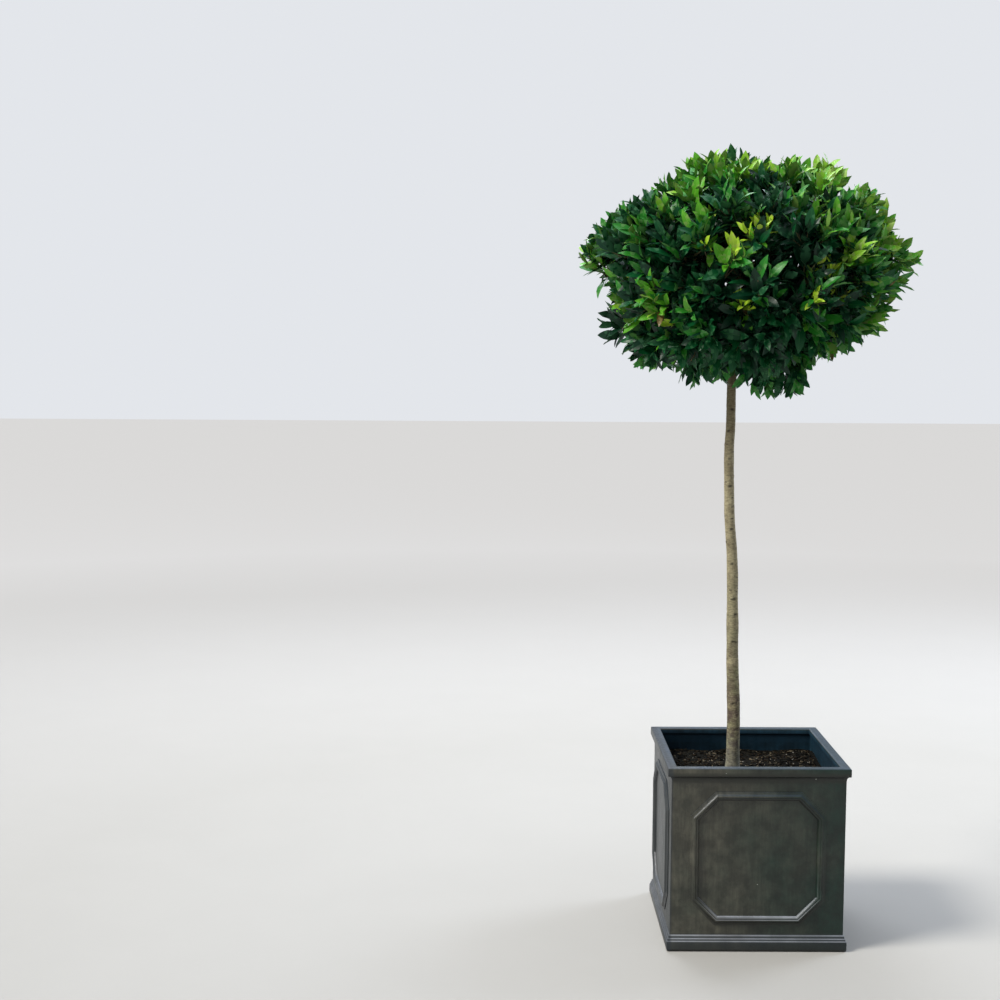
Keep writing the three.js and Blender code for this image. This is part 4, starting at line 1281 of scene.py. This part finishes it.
for out in even_directions(SPRAY_COUNT):
    proud = dealer.uniform(-1, 1)
    tip = CROWN_CENTRE + out * (crown_reach(out)[0] - SPRAY_DEPTH + proud * DEPTH_SPREAD)
    grow_spray(tip, swayed_heading(out), PROUD_PAINTED_LIGHT * proud + dealer.gauss(0, LIFT_SPREAD))
for place, heading in LOOSE_SPRAYS:
    grow_spray(np.array(place), unit(np.array(heading)), LOOSE_LIFT, loose=True)
for out in even_directions(INNER_COUNT):
    reach = crown_reach(out)[0] - INNER_DEPTH + dealer.uniform(-1, 1) * INNER_SPREAD
    grow_shoot("inner", CROWN_CENTRE + out * reach, swayed_heading(out))
mean_length = np.mean([shoot["length"] for shoot in shoots])
print("shoots:", len(shoots), "mean length", round(mean_length * 1000), "mm")

# %% The twigs piece
BRANCH_RADII = (0.0036, 0.0022)
SHOOT_RADII = (0.0019, 0.0011)
BRANCH_SIDES, SHOOT_SIDES = 6, 4

twig_bark = new_material("twig bark", 0.7, "#5a5636")[0]
twig_shapes = [
    tube(line, np.linspace(*BRANCH_RADII, len(line)), BRANCH_SIDES)
    for lines in branches.values() for line in lines
]
twig_shapes += [
    tube(shoot["line"], np.linspace(*SHOOT_RADII, len(shoot["line"])), SHOOT_SIDES) for shoot in shoots
]
twigs = mesh_from_arrays("twigs", *join_shapes(twig_shapes), [twig_bark])
smooth_by_angle(twigs, 70)
settle(twigs, "bark")

# %% [markdown]
# ## Leaves
# A bay leaf is a stiff, glossy lance of 6 to 8 centimetres, with a wavy margin, a pale midrib, a fold along
# it and a short stalk. Each is one thin closed mesh of a few dozen faces: blade, midrib strip and pale
# underside. Nine forms with their own bend, fold, twist and waves are shaped once, and every leaf is a
# turned and sized copy of one of them, joined by mass.

# %% The leaf's points
LEAF_STATIONS = np.array([0.0, 0.08, 0.20, 0.36, 0.54, 0.72, 0.87])
LEAF_WIDTHS = np.array([0.05, 0.08, 0.62, 0.95, 1.0, 0.82, 0.47])    # shares of the half-width
RIB_HALF, RIB_RISE, KEEL_DROP = 0.0075, 0.004, 0.006                # of a leaf of length 1
RIB_FROM, RIB_TAPER, BEND_CURVE = 0.1, 1.15, 1.3
SECTION_POINTS = 5                         # the margins, the midrib's sides and the keel
MARGIN_WAVES, MARGIN_OFFSET = 14, 2.4      # in radians: over the length, and from side to side


def leaf_form(bend, fold, twist, wave, phase, half_width):
    """Points of a leaf of length 1 along +Y with its upper side towards +Z: five at each station, from the
    left margin over the midrib to the right margin, then the keel below, and one at the tip."""
    stations = np.append(LEAF_STATIONS, 1.0)
    slopes = -bend * stations ** BEND_CURVE
    steps = np.diff(stations, prepend=0)
    forward = np.cumsum(steps * np.cos(slopes))
    lift = np.cumsum(steps * np.sin(slopes))
    points = []
    for at, width, y, z in zip(LEAF_STATIONS, LEAF_WIDTHS, forward, lift):
        half = width * half_width
        rib = RIB_HALF * (RIB_TAPER - at) if at > RIB_FROM else half / 2
        turn = twist * at
        left, right = (
            math.sin(fold) + wave * math.sin(MARGIN_WAVES * at + start)
            for start in (phase, phase + MARGIN_OFFSET)
        )
        section = [
            (-half * math.cos(fold), half * left), (-rib, RIB_RISE), (rib, RIB_RISE),
            (half * math.cos(fold), half * right), (0.0, -KEEL_DROP),
        ]
        for across, rise in section:
            points.append((across * math.cos(turn) - rise * math.sin(turn), y,
                           z + across * math.sin(turn) + rise * math.cos(turn)))
    points.append((0.0, forward[-1], lift[-1]))
    return np.array(points)


# %% The leaf's faces
BLADE, RIB, UNDERSIDE = 0, 1, 2


def leaf_triangles():
    """Triangles of a leaf and which part of it each belongs to."""
    triangles, kinds = [], []
    strips = [(0, 1, BLADE), (1, 2, RIB), (2, 3, BLADE), (3, 4, UNDERSIDE), (4, 0, UNDERSIDE)]
    for station in range(len(LEAF_STATIONS) - 1):
        low, high = SECTION_POINTS * station, SECTION_POINTS * (station + 1)
        for left, right, kind in strips:
            triangles += [(low + left, low + right, high + right), (low + left, high + right, high + left)]
            kinds += [kind, kind]
    last, tip = SECTION_POINTS * (len(LEAF_STATIONS) - 1), SECTION_POINTS * len(LEAF_STATIONS)
    for left, right, kind in strips:
        triangles.append((last + left, last + right, tip))
        kinds.append(kind)
    triangles += [(0, 2, 1), (0, 3, 2), (0, 4, 3)]
    kinds += [UNDERSIDE] * 3
    return np.array(triangles), np.array(kinds)


LEAF_TRIANGLES, LEAF_KINDS = leaf_triangles()
print("a leaf:", len(LEAF_TRIANGLES), "triangles")

# %% The leaf's forms
LEAF_FORMS = 9
BENDS, FOLDS, TWISTS = (0.1, 0.75), (0.10, 0.42), (-0.5, 0.5)
WAVE_HEIGHTS, WAVE_PHASES, HALF_WIDTHS = (0.06, 0.22), (0, 6), (0.16, 0.20)

leaf_forms = [
    leaf_form(*[dealer.uniform(*limits)
                for limits in (BENDS, FOLDS, TWISTS, WAVE_HEIGHTS, WAVE_PHASES, HALF_WIDTHS)])
    for _ in range(LEAF_FORMS)
]
print("leaf forms:", len(leaf_forms), "of", len(leaf_forms[0]), "points")

# %% [markdown]
# The colours are dealt out by spray, on a ladder from dark to bright tints that holds both the leaves' own
# variety and painted light and shade. Where the light comes from, at the crown's edge as painted back light,
# and on the right, the sprays are painted yellower and brighter, and in the middle and below they are deep
# blue-green as painted shade, as are the shoots inside. The last leaves of a few sprays of new growth are
# lime, and a leaf here and there has turned brown. Each tint is a plain glossy colour with its own midrib
# and underside.

# %% The leaf tints
# From "shade" to "sunny" the tints are lit and shaded copies of one leaf, painted shade and painted
# sunlight, which also carry the leaves' own variety; "young" and "old" are the leaves' own colours.
TINTS = {
    # name: blade, midrib, underside
    "shade": ("#032d1a", "#174a28", "#234f33"),
    "deep": ("#074a25", "#2b6b33", "#326840"),
    "green": ("#247421", "#5b963a", "#508744"),
    "bright": ("#519a22", "#88b847", "#729d47"),
    "sunny": ("#7cb02c", "#a6c558", "#8dac55"),
    "young": ("#a5cd32", "#c0d964", "#aec353"),
    "old": ("#6d5a2c", "#95875a", "#857551"),
}
LADDER = ["shade", "deep", "green", "bright", "sunny"]
LEAF_ROUGHNESS, UNDERSIDE_ROUGHER, LEAF_SHINE = 0.38, 0.25, 0.27
tint_names = list(TINTS)


def leaf_material(name, part, code):
    roughness = LEAF_ROUGHNESS + (UNDERSIDE_ROUGHER if part == "underside" else 0)
    return new_material(f"{name} leaf {part}", roughness, code, LEAF_SHINE)[0]


leaf_materials = [
    leaf_material(name, part, code)
    for name, codes in TINTS.items() for part, code in zip(("blade", "midrib", "underside"), codes)
]
print("leaf materials:", len(leaf_materials))

# %% New growth
# Azimuth and elevation from the crown's middle, in degrees, and how many shoots are new there.
NEW_GROWTH = [(-111, 4, 3), (-106, 6, 4), (-101, 9, 4), (-96, 11, 3), (-71, 0, 1), (-67, -8, 2),
              (-75, -19, 2), (-107, -16, 2), (-123, 15, 1), (-143, -8, 1), (-135, -26, 1), (-50, -18, 1),
              (-59, -15, 1), (-169, 0, 1)]

outer_shoots = [shoot for shoot in shoots if shoot["kind"] != "inner"]
for azimuth, elevation, count in NEW_GROWTH:
    wanted = direction_at(math.radians(elevation), math.radians(azimuth))
    outer_shoots.sort(key=lambda shoot: -(shoot["out"] @ wanted))
    for shoot in outer_shoots[:count]:
        shoot["kind"] = "young"
print("new shoots:", sum(shoot["kind"] == "young" for shoot in shoots))

# %% The tint of a leaf
LIGHT_SIDE = unit(np.array([-0.08, 0.10, 0.75]))
# Steps of the ladder: a shoot's own, and the painted light that the light's side, the crown's sides as
# painted back light, and the right side add to it.
SHOOT_STEP, LIT_RANGE, EDGE_PAINTED_LIGHT, RIGHT_PAINTED_LIGHT = 0.9, 0.95, 0.9, 0.8
# Side shoots and the shoots inside are stepped down: painted shade.
STEP_OF_KIND = {"middle": 0.0, "side": -0.35, "inner": -1.3}
# Steps of the ladder: how much less the shoot's lowest leaf has, and what its tip adds.
BASE_LOWER, TIP_LIFT, TIP_CURVE, STEP_SPREAD = 1.05, 1.9, 1.2, 0.35
YOUNG_FROM, OLD_SHARE = 0.45, 0.002


def shoot_tone(shoot):
    """The shoot's step on the ladder of tints, or "young": painted light from the light's side, the crown's
    edge and the right, painted shade on side and inner shoots, and the spray's own lift.
    """
    if shoot["kind"] == "young":
        return "young"
    across, depth, _ = shoot["out"]
    lit = LIT_RANGE * float(shoot["out"] @ LIGHT_SIDE)
    painted_edge_light = (1 - depth ** 2) * EDGE_PAINTED_LIGHT + max(across, 0) * RIGHT_PAINTED_LIGHT
    return SHOOT_STEP + lit + painted_edge_light + shoot["lift"] + STEP_OF_KIND[shoot["kind"]]


def leaf_tint(tone, share):
    """The tint of one leaf: those near the shoot's tip are brighter than those at its base."""
    if dealer.random() < OLD_SHARE:
        return "old"
    if tone == "young":
        return "young" if share > YOUNG_FROM else "bright"
    step = round(tone - BASE_LOWER + TIP_LIFT * share ** TIP_CURVE + dealer.gauss(0, STEP_SPREAD))
    return LADDER[min(max(step, 0), len(LADDER) - 1)]


# %% How a leaf sits
OPEN_FIRST, OPEN_LAST, OPEN_CURVE = math.radians(72), math.radians(14), 0.7
TURN_SPREAD, OPEN_SPREAD, FACE_SPREAD = 0.12, 0.10, 0.22
LEAF_RISES = [-60, -25], [-0.28, 0.22]     # how far a leaf turns up, by elevation in degrees
FACE_THE_LIGHT = 0.75
PROUD = 0.024                         # how far a leaf's tip may stand out of the outline
CUTS = (1.0, 0.9, 0.8)                # shares of its length that a leaf may keep to end there


def leaf_axes(shoot, number, count):
    """The leaf's side, length and upper side as three rows."""
    heading = shoot["heading"]
    share = number / (count - 1)
    across = unit(np.cross(heading, UP if abs(heading[2]) < 0.9 else np.array([1.0, 0, 0])))
    beside = np.cross(heading, across)
    turn = shoot["turn"] + number * GOLDEN_ANGLE + dealer.gauss(0, TURN_SPREAD)
    around = math.cos(turn) * across + math.sin(turn) * beside
    opening = OPEN_FIRST + (OPEN_LAST - OPEN_FIRST) * share ** OPEN_CURVE + dealer.gauss(0, OPEN_SPREAD)
    along = math.cos(opening) * heading + math.sin(opening) * around
    along = unit(along + np.interp(math.degrees(shoot["elevation"]), *LEAF_RISES) * UP)
    faces = unit(heading - (heading @ along) * along)
    sky = UP - along[2] * along
    upper = faces + FACE_THE_LIGHT * sky + np.array([dealer.gauss(0, FACE_SPREAD) for _ in range(3)])
    upper = unit(upper - (upper @ along) * along)
    return np.stack([np.cross(along, upper), along, upper])


def fitted_length(root, along, length, loose):
    """The leaf's length, cut so that its tip stays near the crown's outline, or 0 if it can't."""
    if loose:
        return length
    for share in CUTS:
        tip = root + along * length * share - CROWN_CENTRE
        far = np.linalg.norm(tip)
        if far < crown_reach(tip / far)[0] + PROUD:
            return length * share
    return 0


# %% Dealing out the leaves
LEAVES_PER_SHOOT = 7
LEAFY_LENGTH, LEAFY_SHARE, CROWDED = 0.060, 0.8, 1.15     # leaves crowd a little towards the tip
LEAF_LENGTH, LENGTH_SPREAD = 0.067, 0.14
SMALLEST_AT_TIP, YOUNG_SIZE = 0.78, 0.72

leaf_shapes = {name: ([], [], []) for name in MASSES}
for shoot in shoots:
    shoot["turn"] = dealer.uniform(0, 2 * math.pi)
    tone = shoot_tone(shoot)
    shares = np.linspace(0, 1, len(shoot["line"]))
    leafy = min(LEAFY_LENGTH, LEAFY_SHARE * shoot["length"])
    for number in range(LEAVES_PER_SHOOT):
        share = number / (LEAVES_PER_SHOOT - 1)
        place = 1 - leafy / shoot["length"] * (1 - share) ** CROWDED
        root = np.array([np.interp(place, shares, shoot["line"][:, axis]) for axis in range(3)])
        axes = leaf_axes(shoot, number, LEAVES_PER_SHOOT)
        size = LEAF_LENGTH * (1 + (SMALLEST_AT_TIP - 1) * share ** 2) * (1 + dealer.gauss(0, LENGTH_SPREAD))
        size *= YOUNG_SIZE if tone == "young" else 1
        length = fitted_length(root, axes[1], size, shoot["loose"])
        tint = 3 * tint_names.index(leaf_tint(tone, share))
        if length:
            points, triangles, slots = leaf_shapes[shoot["mass"]]
            points.append(root + length * (leaf_forms[dealer.randrange(LEAF_FORMS)] @ axes))
            triangles.append(LEAF_TRIANGLES)
            slots.append(LEAF_KINDS + tint)
print("leaves:", sum(len(points) for points, _, _ in leaf_shapes.values()))

# %% The leaves, one piece for each mass
for name, (points, triangles, slots) in leaf_shapes.items():
    leaves = mesh_from_arrays(f"leaves_{name}", *join_shapes(list(zip(points, triangles))), leaf_materials,
                              np.concatenate(slots))
    smooth_by_angle(leaves, 45)
    settle(leaves, "foliage", f"foliage_{name}")
